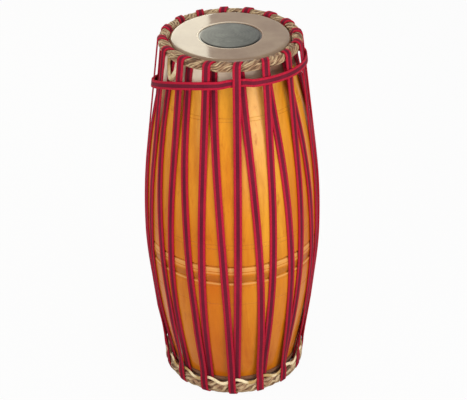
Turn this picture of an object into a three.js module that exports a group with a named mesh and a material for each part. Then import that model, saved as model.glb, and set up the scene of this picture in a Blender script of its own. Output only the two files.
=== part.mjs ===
// A mridangam, the double-headed barrel drum of South India, standing on its left (bass) head.
// Millimetres, +Z up along the drum's axis. z = 0 is the plane under the lacing's lower loops, and
// the origin lies on the axis in that plane. -Y is the front and +X is the right.
// A bearing is an angle about the axis, in degrees, measured from the front towards the right.

import * as THREE from "three";

// Clearances
const CLEARANCE = 0.3;            // between pieces that lie against each other
const HOOP_CLEARANCE = 0.7;       // between a hoop and the lacing that passes inside it
const GIRDLE_CLEARANCE = 0.5;     // between the girdle and the lacing it is drawn round

// Shell: one hollowed block of jackwood
const SHELL_LENGTH = 569.5;       // rim to rim
const BELLY_RADIUS = 135;         // outside, at the widest ring
const BELLY_HEIGHT = 251.5;       // of the widest ring above the left rim
const RIGHT_RIM_RADIUS = 84.4;    // outside, at the treble end
const LEFT_RIM_RADIUS = 97;       // outside, at the bass end
const RIGHT_FULLNESS = 2.2;       // power of the curve from the belly to the right rim
const LEFT_FULLNESS = 1.75;       // power of the curve from the belly to the left rim
const WALL = 13;                  // measured level, across the wall
const RIM_ROUND = 2.5;            // rounding of the rims' outer edges
const BAND_HEIGHT = 28;           // of the turned band round the belly, between its two grooves
const BAND_DROP = 11;             // from the widest ring down to the band's middle
const GROOVE_WIDTH = 5;
const GROOVE_DEPTH = 3;

// Right (treble) head: three skins drawn over the rim, and a tuning patch of hardened paste
const RIGHT_INNER_SKIN = 1.0;     // thickness
const RIGHT_MAIN_SKIN = 0.8;      // thickness
const RIGHT_OUTER_SKIN = 1.2;     // thickness
const RIGHT_INNER_HOLE = 62;      // radius of the hole in the hidden ring skin
const RIGHT_SKIRT = 28;           // how far the skins come down the shell from its rim
const PATCH_RADIUS = 43.6;
const PATCH_MARGIN = 3;           // bare skin left between the patch and the outer skin's edge
const PATCH_EDGE = 1.0;           // thickness at the rim
const PATCH_CROWN = 2.2;          // thickness in the middle

// Left (bass) head: two skins
const LEFT_MAIN_SKIN = 0.8;       // thickness
const LEFT_OUTER_SKIN = 1.2;      // thickness
const LEFT_HOLE = 58;             // radius of the hole in the outer ring skin
const LEFT_SKIRT = 21;            // how far the skins come up the shell from its rim
const LEFT_HEAD_LIFT = 1.5;       // from the underside of the left hoop up to the left head's face

// Plaited hoops: the section is a rounded rectangle
const RIGHT_HOOP_WIDTH = 11;
const RIGHT_HOOP_HEIGHT = 11.6;
const RIGHT_HOOP_DROP = 6;        // from the right head's face down to the middle of the hoop
const LEFT_HOOP_WIDTH = 6.4;
const LEFT_HOOP_HEIGHT = 18;
const HOOP_FULLNESS = 2.4;        // 2 is an ellipse, more is squarer
const HOOP_TRAVEL = 2;            // how far a hoop can be driven towards the belly when tuning

// Lacing: flat webbing, one length for each loop of the lacing
const LACING_LOOPS = 16;
const STRAP_WIDTH = 12;
const STRAP_THICKNESS = 2.2;
const TOP_OUT_BEARING = 4.3;      // first loop, where it climbs outside the right hoop
const TOP_IN_BEARING = 7.7;       // first loop, where it drops inside the right hoop
const BOTTOM_IN_BEARING = 2.0;    // first loop, where it leaves the inside of the left hoop
const BOTTOM_OUT_BEARING = -1.8;  // first loop, where the last length reaches the left hoop's outside
const SLANT_BOW = 1.8;            // degrees by which a slanting run bows sideways at its middle
const LOOP_CROWDING = 2;          // degrees by which loops at the sides lie further back than evenly spaced
const LENGTH_GAP = 0.4;           // between two lengths, under the left hoop
const LENGTH_CUT = 0.8;           // share of the flat under the left hoop that ends a length

// Girdle: the same webbing drawn round the lacing below the right hoop, slanting
const GIRDLE_DROP = 54.6;         // from the right head's face down to the girdle's mean height
const GIRDLE_FRONT_RISE = 27.6;   // rise above the mean height at the front
const GIRDLE_RIGHT_RISE = 20.2;   // rise above the mean height at the right
const GIRDLE_WAVE = 7.3;          // extra rise at the front left and back right, and fall between them
const GIRDLE_SEAM = 170;          // bearing of its inner end, at the back
const GIRDLE_LAP = 22;            // degrees by which its ends lap
const GIRDLE_RAMP = 14;           // degrees in which it steps over its own end
const TUCK_FLAT = 5;              // degrees each side of the front strap that it runs level beneath it
const TUCK_RAMP = 9;              // degrees in which it dips beneath that strap

// Rawhide thongs that bind the skins to the hoops
const THONG_RADIUS = 2;
const LEFT_THONG_RISE = 17;       // of its crests above the middle of the left hoop
const LEFT_THONG_LEAN = 58;       // degrees above level at which its dips lie on the left hoop
const TAIL_BEARING = -53;         // middle of the tail that hangs below the right hoop
const TAIL_SPREAD = 7;            // degrees from its middle to each end
const TAIL_DROP = 27;             // from its ends to its lowest point

// Fineness
const SEGMENTS = 40;              // round the drum
const PROFILE_STEP = 28;          // largest step along the shell's profile
const SKIRT_STEP = 13;            // largest step along a skirt
const BORE_STEP = 85;             // largest step along the bore
const ROUND_STEPS = 2;            // along each rounded rim
const HOOP_SIDES = 12;            // round a hoop's section
const GIRDLE_STEP = 6;            // degrees
const THONG_SIDES = 6;
const THONG_STEPS = 6;            // along each wave of the left thong
const TAIL_STEPS = 10;            // along the right thong's tail

// Heights that follow
const LEFT_FACE_Z = STRAP_THICKNESS + CLEARANCE + LEFT_HEAD_LIFT;
const LEFT_STACK = LEFT_MAIN_SKIN + LEFT_OUTER_SKIN + 2 * CLEARANCE;
const LEFT_RIM_Z = LEFT_FACE_Z + LEFT_STACK;
const RIGHT_RIM_Z = LEFT_RIM_Z + SHELL_LENGTH;
const RIGHT_STACK = RIGHT_INNER_SKIN + RIGHT_MAIN_SKIN + RIGHT_OUTER_SKIN + 3 * CLEARANCE;
const RIGHT_FACE_Z = RIGHT_RIM_Z + RIGHT_STACK;
const BELLY_Z = LEFT_RIM_Z + BELLY_HEIGHT;
const LEFT_HOOP_Z = STRAP_THICKNESS + CLEARANCE + LEFT_HOOP_HEIGHT / 2;
const RIGHT_HOOP_Z = RIGHT_FACE_Z - RIGHT_HOOP_DROP;
const LOOP_PITCH = 360 / LACING_LOOPS;
const LEFT = -1;
const RIGHT = 1;

// Outside radius of the shell at height z, with its grooves and rounded rims left out.
function shellRadius(z) {
  if (z >= BELLY_Z) {
    const share = (z - BELLY_Z) / (RIGHT_RIM_Z - BELLY_Z);
    return BELLY_RADIUS - (BELLY_RADIUS - RIGHT_RIM_RADIUS) * share ** RIGHT_FULLNESS;
  }
  const share = (BELLY_Z - z) / (BELLY_Z - LEFT_RIM_Z);
  return BELLY_RADIUS - (BELLY_RADIUS - LEFT_RIM_RADIUS) * share ** LEFT_FULLNESS;
}

// Point on the shell's profile at height z, with its outward normal, in the (radius, height) plane.
function shellPoint(z) {
  const step = 0.5;
  const slope = (shellRadius(z + step) - shellRadius(z - step)) / (2 * step);
  const size = Math.hypot(1, slope);
  return { r: shellRadius(z), z, nr: 1 / size, nz: -slope / size };
}

// Moves a profile point outward along its normal.
function offset(point, distance) {
  return new THREE.Vector2(point.r + point.nr * distance, point.z + point.nz * distance);
}

// Evenly spaced heights from low to high, both included.
function heights(low, high, largestStep) {
  const count = Math.max(1, Math.ceil((high - low) / largestStep));
  return Array.from({ length: count + 1 }, (_, i) => low + (high - low) * i / count);
}

// Height at which the rounded edge of a rim runs into the shell's side.
function roundEndHeight(side) {
  const rimZ = side === RIGHT ? RIGHT_RIM_Z : LEFT_RIM_Z;
  const rise = shellPoint(rimZ - side * RIM_ROUND / 2).nz * side;
  return rimZ - side * RIM_ROUND * (1 - rise);
}

// Profile over one rim, from the flat at radius startRadius, round the edge and along the shell's
// side as far as the skirt reaches. A skirt of 0 stops at the end of the rounded edge.
function rimCurve(side, startRadius, skirt) {
  const rimZ = side === RIGHT ? RIGHT_RIM_Z : LEFT_RIM_Z;
  const roundZ = roundEndHeight(side);
  const end = shellPoint(roundZ);
  const centre = { r: end.r - end.nr * RIM_ROUND, z: rimZ - side * RIM_ROUND };
  const endAngle = Math.atan2(end.nz * side, end.nr);
  const points = [{ r: startRadius, z: rimZ, nr: 0, nz: side }];
  for (let i = 0; i <= ROUND_STEPS; i += 1) {
    const angle = Math.PI / 2 + (endAngle - Math.PI / 2) * i / ROUND_STEPS;
    const nr = Math.cos(angle);
    const nz = Math.sin(angle) * side;
    points.push({ r: centre.r + RIM_ROUND * nr, z: centre.z + RIM_ROUND * nz, nr, nz });
  }
  if (skirt > 0) {
    skirtHeights(side, skirt).forEach((z) => points.push(shellPoint(z)));
  }
  return points;
}

// Heights along the side of a skirt, from just past the rounded edge to its free end.
function skirtHeights(side, skirt) {
  const rimZ = side === RIGHT ? RIGHT_RIM_Z : LEFT_RIM_Z;
  const roundZ = roundEndHeight(side);
  const drop = skirt - Math.abs(rimZ - roundZ);
  return heights(0, drop, SKIRT_STEP).slice(1).map((distance) => roundZ - side * distance);
}

// A solid of revolution from an outline of (radius, height) points taken in either sense.
function turned(outline, closed) {
  let area = 0;
  outline.forEach((point, i) => {
    const next = outline[(i + 1) % outline.length];
    area += point.x * next.y - next.x * point.y;
  });
  const points = area > 0 ? [...outline] : [...outline].reverse();
  if (closed) {
    points.push(points[0].clone());
  }
  const geometry = new THREE.LatheGeometry(points, SEGMENTS);
  geometry.rotateX(Math.PI / 2);
  return geometry;
}

// The shell: bored right through, with two V-grooves that set off the band round its belly.
function shellGeometry() {
  const leftRim = rimCurve(LEFT, LEFT_RIM_RADIUS - WALL, 0);
  const rightRim = rimCurve(RIGHT, RIGHT_RIM_RADIUS - WALL, 0);
  const bandZ = BELLY_Z - BAND_DROP;
  const grooves = [bandZ - BAND_HEIGHT / 2, bandZ + BAND_HEIGHT / 2];
  const side = sideHeights().filter((z) => grooves.every((g) => Math.abs(z - g) > GROOVE_WIDTH));
  const outer = side.map((z) => new THREE.Vector2(shellRadius(z), z));
  grooves.forEach((z) => {
    [-GROOVE_WIDTH / 2, 0, GROOVE_WIDTH / 2].forEach((shift) => {
      const depth = shift === 0 ? GROOVE_DEPTH : 0;
      outer.push(new THREE.Vector2(shellRadius(z + shift) - depth, z + shift));
    });
  });
  outer.sort((a, b) => a.y - b.y);
  const bore = heights(LEFT_RIM_Z, RIGHT_RIM_Z, BORE_STEP).slice(1, -1).reverse();
  const outline = [
    ...leftRim.map((point) => offset(point, 0)),
    ...outer,
    ...rightRim.reverse().map((point) => offset(point, 0)),
    ...bore.map((z) => new THREE.Vector2(shellRadius(z) - WALL, z)),
  ];
  return turned(outline, true);
}

// Heights of the shell's profile between its two rounded rims.
function sideHeights() {
  return heights(roundEndHeight(LEFT), roundEndHeight(RIGHT), PROFILE_STEP).slice(1, -1);
}

// A skin drawn over one rim: inner face at distance low from the shell, outer face at low + thickness.
// A hole radius of 0 makes a whole head, anything more a ring.
function skinGeometry(side, low, thickness, hole, skirt) {
  const curve = rimCurve(side, hole, skirt);
  const inner = curve.map((point) => offset(point, low));
  const outer = curve.map((point) => offset(point, low + thickness));
  const outline = [...inner, ...outer.reverse()];
  return turned(outline, hole > 0);
}

// The patch: flat underneath, slightly crowned on top.
function patchGeometry() {
  const base = RIGHT_FACE_Z - RIGHT_OUTER_SKIN;
  const crownSteps = 4;
  const outline = [new THREE.Vector2(0, base), new THREE.Vector2(PATCH_RADIUS, base)];
  for (let i = crownSteps; i >= 0; i -= 1) {
    const share = i / crownSteps;
    const height = PATCH_CROWN - (PATCH_CROWN - PATCH_EDGE) * share ** 2;
    outline.push(new THREE.Vector2(PATCH_RADIUS * share, base + height));
  }
  return turned(outline, false);
}

// Point on a hoop's section, enlarged by grow all round. angle 0 is outermost, 90 degrees uppermost.
function hoopPoint(hoop, angle, grow) {
  const cos = Math.cos(angle);
  const sin = Math.sin(angle);
  const across = Math.sign(cos) * Math.abs(cos) ** (2 / HOOP_FULLNESS);
  const up = Math.sign(sin) * Math.abs(sin) ** (2 / HOOP_FULLNESS);
  const width = hoop.width / 2 + grow;
  const height = hoop.height / 2 + grow;
  return new THREE.Vector2(hoop.radius + width * across, hoop.z + height * up);
}

// A point of a strap's middle line where it lies on the shell, or on the skins that cover it there.
function lay(z) {
  const point = shellPoint(z);
  let cover = 0;
  if (z >= RIGHT_RIM_Z - RIGHT_SKIRT) {
    cover = RIGHT_STACK;
  }
  if (z <= LEFT_RIM_Z + LEFT_SKIRT) {
    cover = LEFT_STACK;
  }
  return offset(point, cover + CLEARANCE + STRAP_THICKNESS / 2);
}

// Radius of a strap's middle line where it lies on the shell or the skins at a given height of its own.
function layRadius(height) {
  let z = height;
  for (let i = 0; i < 6; i += 1) {
    z += height - lay(z).y;
  }
  return lay(z).x;
}

// Mean radius of a hoop that clears the lacing inside it along its whole tuning travel.
function hoopRadius(side, width, height, z) {
  const steps = 40;
  let radius = 0;
  for (let i = 0; i <= steps; i += 1) {
    const share = -1 + 2 * i / steps;
    const half = width / 2 * (1 - Math.abs(share) ** HOOP_FULLNESS) ** (1 / HOOP_FULLNESS);
    const level = z + share * height / 2;
    const least = [level, level - side * HOOP_TRAVEL].map((at) => layRadius(at) + STRAP_THICKNESS / 2);
    radius = Math.max(radius, Math.max(...least) + HOOP_CLEARANCE + half);
  }
  return radius;
}

function makeHoop(side, width, height, z) {
  return { width, height, z, radius: hoopRadius(side, width, height, z) };
}

const rightHoop = makeHoop(RIGHT, RIGHT_HOOP_WIDTH, RIGHT_HOOP_HEIGHT, RIGHT_HOOP_Z);
const leftHoop = makeHoop(LEFT, LEFT_HOOP_WIDTH, LEFT_HOOP_HEIGHT, LEFT_HOOP_Z);

function hoopGeometry(hoop) {
  const outline = [];
  for (let i = 0; i < HOOP_SIDES; i += 1) {
    outline.push(hoopPoint(hoop, 2 * Math.PI * i / HOOP_SIDES, 0));
  }
  return turned(outline, true);
}

// The taut line of a strap stretched from a to b over the given points: their outer hull.
// Points are (radius, height), and a lies below b.
function taut(a, b, over) {
  const points = [a, ...over.filter((p) => p.y > a.y && p.y < b.y), b].sort((p, q) => p.y - q.y);
  const line = [];
  points.forEach((point) => {
    while (line.length >= 2) {
      const last = line[line.length - 1];
      const before = line[line.length - 2];
      const turn = (last.y - before.y) * (point.x - before.x) - (last.x - before.x) * (point.y - before.y);
      if (turn < 0) {
        break;
      }
      line.pop();
    }
    line.push(point);
  });
  return line;
}

// Radius of a line of (radius, height) points at height z.
function radiusAt(line, z) {
  for (let i = 1; i < line.length; i += 1) {
    const low = line[i - 1];
    const high = line[i];
    if (z <= high.y) {
      return low.x + (high.x - low.x) * (z - low.y) / (high.y - low.y);
    }
  }
  return line[line.length - 1].x;
}

const STRAP_REACH = CLEARANCE + STRAP_THICKNESS / 2;
const STRAP_LAYER = STRAP_THICKNESS + CLEARANCE;

// Ends of the straight run (inside the left hoop to outside the right one) and of the slanting run
// (outside the left hoop to inside the right one).
const straightLow = new THREE.Vector2(layRadius(LEFT_HOOP_Z), LEFT_HOOP_Z);
const straightHigh = hoopPoint(rightHoop, 0, STRAP_REACH);
const slantLow = hoopPoint(leftHoop, 0, STRAP_REACH);
const slantHigh = new THREE.Vector2(layRadius(RIGHT_HOOP_Z), RIGHT_HOOP_Z);

// Bearing of each run at height z, for the first loop. The slanting run ends one loop further on.
function straightBearing(z) {
  const share = (z - straightLow.y) / (straightHigh.y - straightLow.y);
  return BOTTOM_IN_BEARING + (TOP_OUT_BEARING - BOTTOM_IN_BEARING) * share;
}

function slantBearing(z) {
  const share = (z - slantLow.y) / (slantHigh.y - slantLow.y);
  const low = BOTTOM_OUT_BEARING + LOOP_PITCH;
  return low + (TOP_IN_BEARING - low) * share + SLANT_BOW * Math.sin(Math.PI * share);
}

// Bearing at which a strap really lies: the hand-laced loops are a little wider apart at the front.
function settled(bearing) {
  return bearing + LOOP_CROWDING * Math.sin(THREE.MathUtils.degToRad(bearing));
}

// True where two bearings are too near for two straps to lie side by side at this radius.
function crowded(bearingA, bearingB, radius) {
  const apart = THREE.MathUtils.degToRad(Math.abs(bearingA - bearingB)) * radius;
  return apart < STRAP_WIDTH + 2 * CLEARANCE;
}

// Where a strap may have to bend: along the skins' skirts, and on the shell between them.
const leftSkirt = skirtHeights(LEFT, LEFT_SKIRT);
const rightSkirt = skirtHeights(RIGHT, RIGHT_SKIRT);
const rests = [...leftSkirt, ...sideHeights(), ...rightSkirt].map((z) => lay(z));

// Each run is first drawn over the shell alone. Then it is lifted where it crosses over another strap:
// the straight run over its own slanting one near the top, the slanting run over the next loop's
// straight one near the bottom.
const straightBare = taut(straightLow, straightHigh, rests);
const slantBare = taut(slantLow, slantHigh, rests);
const straightRun = taut(straightLow, straightHigh, rests.map((point) => {
  const under = radiusAt(slantBare, point.y);
  const over = point.y > BELLY_Z && crowded(straightBearing(point.y), slantBearing(point.y), point.x);
  return over ? new THREE.Vector2(Math.max(point.x, under + STRAP_LAYER), point.y) : point;
}));
const slantRun = taut(slantLow, slantHigh, rests.map((point) => {
  const under = radiusAt(straightBare, point.y);
  const next = straightBearing(point.y) + LOOP_PITCH;
  const over = point.y < BELLY_Z && crowded(next, slantBearing(point.y), point.x);
  return over ? new THREE.Vector2(Math.max(point.x, under + STRAP_LAYER), point.y) : point;
}));

function degrees(...values) {
  return values.map((value) => THREE.MathUtils.degToRad(value));
}

// The turn under the left hoop, from its outside to its inside, with a flat underneath to stand on.
// Inside, it draws away from the hoop towards the skins, where the straight run begins.
function leftTurn() {
  const outside = degrees(-30, -52, -70).map((angle) => hoopPoint(leftHoop, angle, STRAP_REACH));
  const inside = degrees(-110, -128, -150).map((angle) => hoopPoint(leftHoop, angle, STRAP_REACH));
  const drawIn = straightLow.x - hoopPoint(leftHoop, Math.PI, STRAP_REACH).x;
  inside.forEach((point, i) => {
    point.x += drawIn * i / inside.length;
  });
  outside[outside.length - 1].y = STRAP_THICKNESS / 2;
  inside[0].y = STRAP_THICKNESS / 2;
  return { outside, inside };
}

// One length of lacing as a list of { r, z, bearing } for loop 0: up the straight run, over the right
// hoop, down the slanting run and under the left hoop, where the next length begins.
function lacingPath() {
  const { outside, inside } = leftTurn();
  const flatStart = outside[outside.length - 1];
  const cut = new THREE.Vector2().lerpVectors(flatStart, inside[0], LENGTH_CUT);
  const low = BOTTOM_OUT_BEARING;
  const turnBearing = (point) => {
    const share = (slantLow.x - point.x) / (slantLow.x - straightLow.x);
    return low + (BOTTOM_IN_BEARING - low) * share;
  };
  const path = [];
  const begin = cut.clone();
  begin.x -= LENGTH_GAP;
  [begin, ...inside].forEach((p) => path.push({ r: p.x, z: p.y, bearing: turnBearing(p) }));
  straightRun.forEach((p) => path.push({ r: p.x, z: p.y, bearing: straightBearing(p.y) }));
  for (let i = 1; i < HOOP_SIDES / 2; i += 1) {
    const p = hoopPoint(rightHoop, 2 * Math.PI * i / HOOP_SIDES, STRAP_REACH);
    const share = (straightHigh.x - p.x) / (straightHigh.x - slantHigh.x);
    path.push({ r: p.x, z: p.y, bearing: TOP_OUT_BEARING + (TOP_IN_BEARING - TOP_OUT_BEARING) * share });
  }
  [...slantRun].reverse().forEach((p) => path.push({ r: p.x, z: p.y, bearing: slantBearing(p.y) }));
  [...outside, cut].forEach((p) => {
    path.push({ r: p.x, z: p.y, bearing: turnBearing(p) + LOOP_PITCH });
  });
  return path;
}

// A point at this radius, height and bearing.
function place(r, z, bearing) {
  const angle = THREE.MathUtils.degToRad(bearing);
  return new THREE.Vector3(r * Math.sin(angle), -r * Math.cos(angle), z);
}

// Unit normal, in the (radius, height) plane, of the step from a to b.
function stepNormal(a, b) {
  return new THREE.Vector2(b.z - a.z, a.r - b.r).normalize();
}

// Sections of a strap at each point of its path: its middle, the normal to its face, stretched where
// the strap keeps its thickness round a bend, and the direction of its width.
// face(i) gives the face's direction at point i in the (radius, height) plane. The width lies level
// on a strap that runs along the drum, and square to the path on one that runs round it.
function strapSections(path, face, round) {
  const middles = path.map((p) => place(p.r, p.z, p.bearing));
  return path.map((p, i) => {
    const flat = face(i);
    const outward = place(1, 0, p.bearing);
    const normal = outward.clone().multiplyScalar(flat.x).setZ(flat.y);
    const before = middles[Math.max(i - 1, 0)];
    const after = middles[Math.min(i + 1, middles.length - 1)];
    const along = after.clone().sub(before).normalize();
    const level = new THREE.Vector3(0, 0, 1).cross(outward);
    const width = round ? along.cross(normal).normalize() : level;
    return { middle: middles[i], normal, width };
  });
}

// A flat band with square ends through the given sections.
function bandGeometry(sections) {
  const corners = [[-1, -1], [1, -1], [1, 1], [-1, 1]];
  const positions = [];
  const index = [];
  sections.forEach(({ middle, normal, width }) => {
    corners.forEach(([across, out]) => {
      const corner = middle.clone();
      corner.addScaledVector(width, across * STRAP_WIDTH / 2);
      corner.addScaledVector(normal, out * STRAP_THICKNESS / 2);
      positions.push(corner.x, corner.y, corner.z);
    });
  });
  const sides = corners.length;
  for (let i = 0; i + 1 < sections.length; i += 1) {
    for (let j = 0; j < sides; j += 1) {
      const a = i * sides + j;
      const b = i * sides + (j + 1) % sides;
      index.push(a, a + sides, b, b, a + sides, b + sides);
    }
  }
  const last = (sections.length - 1) * sides;
  index.push(0, 1, 2, 0, 2, 3);
  index.push(last, last + 2, last + 1, last, last + 3, last + 2);
  return solid(positions, index);
}

// A geometry from positions and triangles, turned so that its faces point out.
function solid(positions, index) {
  let volume = 0;
  const corner = (i) => new THREE.Vector3().fromArray(positions, 3 * i);
  for (let i = 0; i < index.length; i += 3) {
    volume += corner(index[i]).dot(corner(index[i + 1]).cross(corner(index[i + 2])));
  }
  const geometry = new THREE.BufferGeometry();
  geometry.setAttribute("position", new THREE.Float32BufferAttribute(positions, 3));
  geometry.setIndex(volume > 0 ? index : [...index].reverse());
  geometry.computeVertexNormals();
  return geometry;
}

// One length of lacing, for loop number loop.
function lacingGeometry(loop) {
  const path = lacingPath().map((p) => ({ ...p, bearing: settled(p.bearing + loop * LOOP_PITCH) }));
  const face = (i) => {
    const before = i > 0 ? stepNormal(path[i - 1], path[i]) : stepNormal(path[i], path[i + 1]);
    const after = i + 1 < path.length ? stepNormal(path[i], path[i + 1]) : before;
    const mean = before.clone().add(after).normalize();
    return mean.multiplyScalar(1 / mean.dot(before));
  };
  return bandGeometry(strapSections(path, face, false));
}

// 0 inside the flat, 1 beyond flat + ramp, and an even curve between.
function fadeOut(distance, flat, ramp) {
  return THREE.MathUtils.smoothstep(distance, flat, flat + ramp);
}

// The girdle: outside the straight runs, but beneath the first loop's, and lapped over its own end.
function girdleGeometry() {
  const turn = 360 + GIRDLE_LAP;
  const count = Math.ceil(turn / GIRDLE_STEP);
  const meanZ = RIGHT_FACE_Z - GIRDLE_DROP;
  const path = [];
  for (let i = 0; i <= count; i += 1) {
    const gone = turn * i / count;
    const bearing = GIRDLE_SEAM + gone;
    const angle = THREE.MathUtils.degToRad(bearing);
    const slope = GIRDLE_FRONT_RISE * Math.cos(angle) + GIRDLE_RIGHT_RISE * Math.sin(angle);
    const z = meanZ + slope - GIRDLE_WAVE * Math.sin(2 * angle);
    const strap = radiusAt(straightRun, z);
    const over = strap + STRAP_THICKNESS + GIRDLE_CLEARANCE;
    const under = strap - STRAP_THICKNESS - GIRDLE_CLEARANCE;
    const fromFront = Math.abs(bearing - 360 - settled(straightBearing(z)));
    const lapped = 1 - fadeOut(360 - gone, 0, GIRDLE_RAMP);
    const r = under + (over - under) * fadeOut(fromFront, TUCK_FLAT, TUCK_RAMP);
    path.push({ r: r + lapped * (STRAP_THICKNESS + GIRDLE_CLEARANCE), z, bearing });
  }
  const reach = STRAP_WIDTH / 2;
  const face = (i) => {
    const { z } = path[i];
    const low = { r: radiusAt(straightRun, z - reach), z: z - reach };
    const high = { r: radiusAt(straightRun, z + reach), z: z + reach };
    return stepNormal(low, high);
  };
  return bandGeometry(strapSections(path, face, true));
}

// A round thong along a list of points, closed on itself or with flat ends.
function thongGeometry(points, closed) {
  const section = new THREE.Shape();
  for (let i = 0; i < THONG_SIDES; i += 1) {
    const angle = 2 * Math.PI * i / THONG_SIDES;
    const method = i === 0 ? "moveTo" : "lineTo";
    section[method](THONG_RADIUS * Math.cos(angle), THONG_RADIUS * Math.sin(angle));
  }
  if (closed) {
    return closedTube(points, section.getPoints());
  }
  const extrudePath = new THREE.CatmullRomCurve3(points);
  return new THREE.ExtrudeGeometry(section, { extrudePath, steps: TAIL_STEPS, bevelEnabled: false });
}

// A tube through a ring of points, with its sections kept upright, joined end to start.
function closedTube(points, section) {
  const positions = [];
  const index = [];
  const sides = section.length;
  points.forEach((middle, i) => {
    const before = points[(i + points.length - 1) % points.length];
    const after = points[(i + 1) % points.length];
    const along = after.clone().sub(before).normalize();
    const across = along.clone().cross(new THREE.Vector3(0, 0, 1)).normalize();
    const up = across.clone().cross(along);
    section.forEach((corner) => {
      const at = middle.clone().addScaledVector(across, corner.x).addScaledVector(up, corner.y);
      positions.push(at.x, at.y, at.z);
    });
  });
  for (let i = 0; i < points.length; i += 1) {
    const next = (i + 1) % points.length;
    for (let j = 0; j < sides; j += 1) {
      const k = (j + 1) % sides;
      index.push(i * sides + j, next * sides + j, i * sides + k);
      index.push(i * sides + k, next * sides + j, next * sides + k);
    }
  }
  return solid(positions, index);
}

// The left thong: a wave round the top of the left hoop. Its crests pass between the straight and the
// slanting straps, and its dips lie on the hoop between them.
function leftThongGeometry() {
  const crestZ = LEFT_HOOP_Z + LEFT_THONG_RISE;
  const strapFace = radiusAt(straightRun, crestZ + HOOP_TRAVEL + THONG_RADIUS) + STRAP_THICKNESS / 2;
  const crest = new THREE.Vector2(strapFace + 2 * CLEARANCE + THONG_RADIUS, crestZ);
  const lean = THREE.MathUtils.degToRad(LEFT_THONG_LEAN);
  const dip = hoopPoint(leftHoop, lean, CLEARANCE + THONG_RADIUS);
  const points = [];
  for (let i = 0; i < LACING_LOOPS * THONG_STEPS; i += 1) {
    const share = 0.5 + 0.5 * Math.cos(2 * Math.PI * i / THONG_STEPS);
    const at = new THREE.Vector2().lerpVectors(dip, crest, share);
    points.push(place(at.x, at.y, settled(BOTTOM_IN_BEARING + LOOP_PITCH * i / THONG_STEPS)));
  }
  return thongGeometry(points, true);
}

// The right thong's tail: a V that hangs below the right hoop, in front of a slanting strap.
function rightThongGeometry() {
  const topZ = RIGHT_HOOP_Z - RIGHT_HOOP_HEIGHT / 2 - CLEARANCE - THONG_RADIUS / 2;
  const lowZ = topZ - TAIL_DROP;
  const strapFace = radiusAt(slantRun, lowZ - HOOP_TRAVEL) + STRAP_THICKNESS / 2;
  const lowRadius = strapFace + 2 * CLEARANCE + 2 * THONG_RADIUS;
  const points = [-1, -0.35, 0, 0.35, 1].map((share) => {
    const fall = 1 - share ** 2;
    const r = rightHoop.radius + (lowRadius - rightHoop.radius) * fall;
    return place(r, topZ - TAIL_DROP * fall, TAIL_BEARING + TAIL_SPREAD * share);
  });
  return thongGeometry(points, false);
}

// Materials, one for each kind of piece, coloured as varnished jackwood, hide and webbing are.
const MATERIALS = {
  wood: { color: 0xd6872a, roughness: 0.35 },
  skin: { color: 0xd8ccb0, roughness: 0.3 },
  patch: { color: 0x7c827c, roughness: 0.45 },
  plait: { color: 0xb08f68, roughness: 0.8 },
  webbing: { color: 0xa92646, roughness: 0.85 },
  rawhide: { color: 0xd9c7a0, roughness: 0.6 },
};

const drum = new THREE.Group();
drum.name = "mridangam";

function addPiece(name, geometry, kind) {
  const material = new THREE.MeshStandardMaterial({ ...MATERIALS[kind], metalness: 0 });
  const mesh = new THREE.Mesh(geometry, material);
  mesh.name = name;
  drum.add(mesh);
}

addPiece("shell", shellGeometry(), "wood");

const rightMainLow = 2 * CLEARANCE + RIGHT_INNER_SKIN;
const rightOuterLow = rightMainLow + RIGHT_MAIN_SKIN + CLEARANCE;
const rightHole = PATCH_RADIUS + PATCH_MARGIN;
const rightSkin = (low, thickness, hole) => skinGeometry(RIGHT, low, thickness, hole, RIGHT_SKIRT);
addPiece("right_inner_skin", rightSkin(CLEARANCE, RIGHT_INNER_SKIN, RIGHT_INNER_HOLE), "skin");
addPiece("right_main_skin", rightSkin(rightMainLow, RIGHT_MAIN_SKIN, 0), "skin");
addPiece("right_outer_skin", rightSkin(rightOuterLow, RIGHT_OUTER_SKIN, rightHole), "skin");
addPiece("tuning_patch", patchGeometry(), "patch");
addPiece("right_hoop", hoopGeometry(rightHoop), "plait");
addPiece("right_thong", rightThongGeometry(), "rawhide");

const leftOuterLow = 2 * CLEARANCE + LEFT_MAIN_SKIN;
const leftSkin = (low, thickness, hole) => skinGeometry(LEFT, low, thickness, hole, LEFT_SKIRT);
addPiece("left_main_skin", leftSkin(CLEARANCE, LEFT_MAIN_SKIN, 0), "skin");
addPiece("left_outer_skin", leftSkin(leftOuterLow, LEFT_OUTER_SKIN, LEFT_HOLE), "skin");
addPiece("left_hoop", hoopGeometry(leftHoop), "plait");
addPiece("left_thong", leftThongGeometry(), "rawhide");

for (let loop = 0; loop < LACING_LOOPS; loop += 1) {
  const number = String(loop + 1).padStart(2, "0");
  addPiece(`lacing_${number}`, lacingGeometry(loop), "webbing");
}
addPiece("girdle", girdleGeometry(), "webbing");

export default drum;
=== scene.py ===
"""Dresses the solids of a mridangam, the double-headed barrel drum of South India.

The drum stands on its left (bass) head. Metres, +Z up along its axis, -Y is the front and +X the right.
A bearing is an angle about the axis, measured from the front towards the right. Profiles and strap lines
are worked out as (radius, height) pairs, from the same sizes as the solids.
"""

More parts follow.
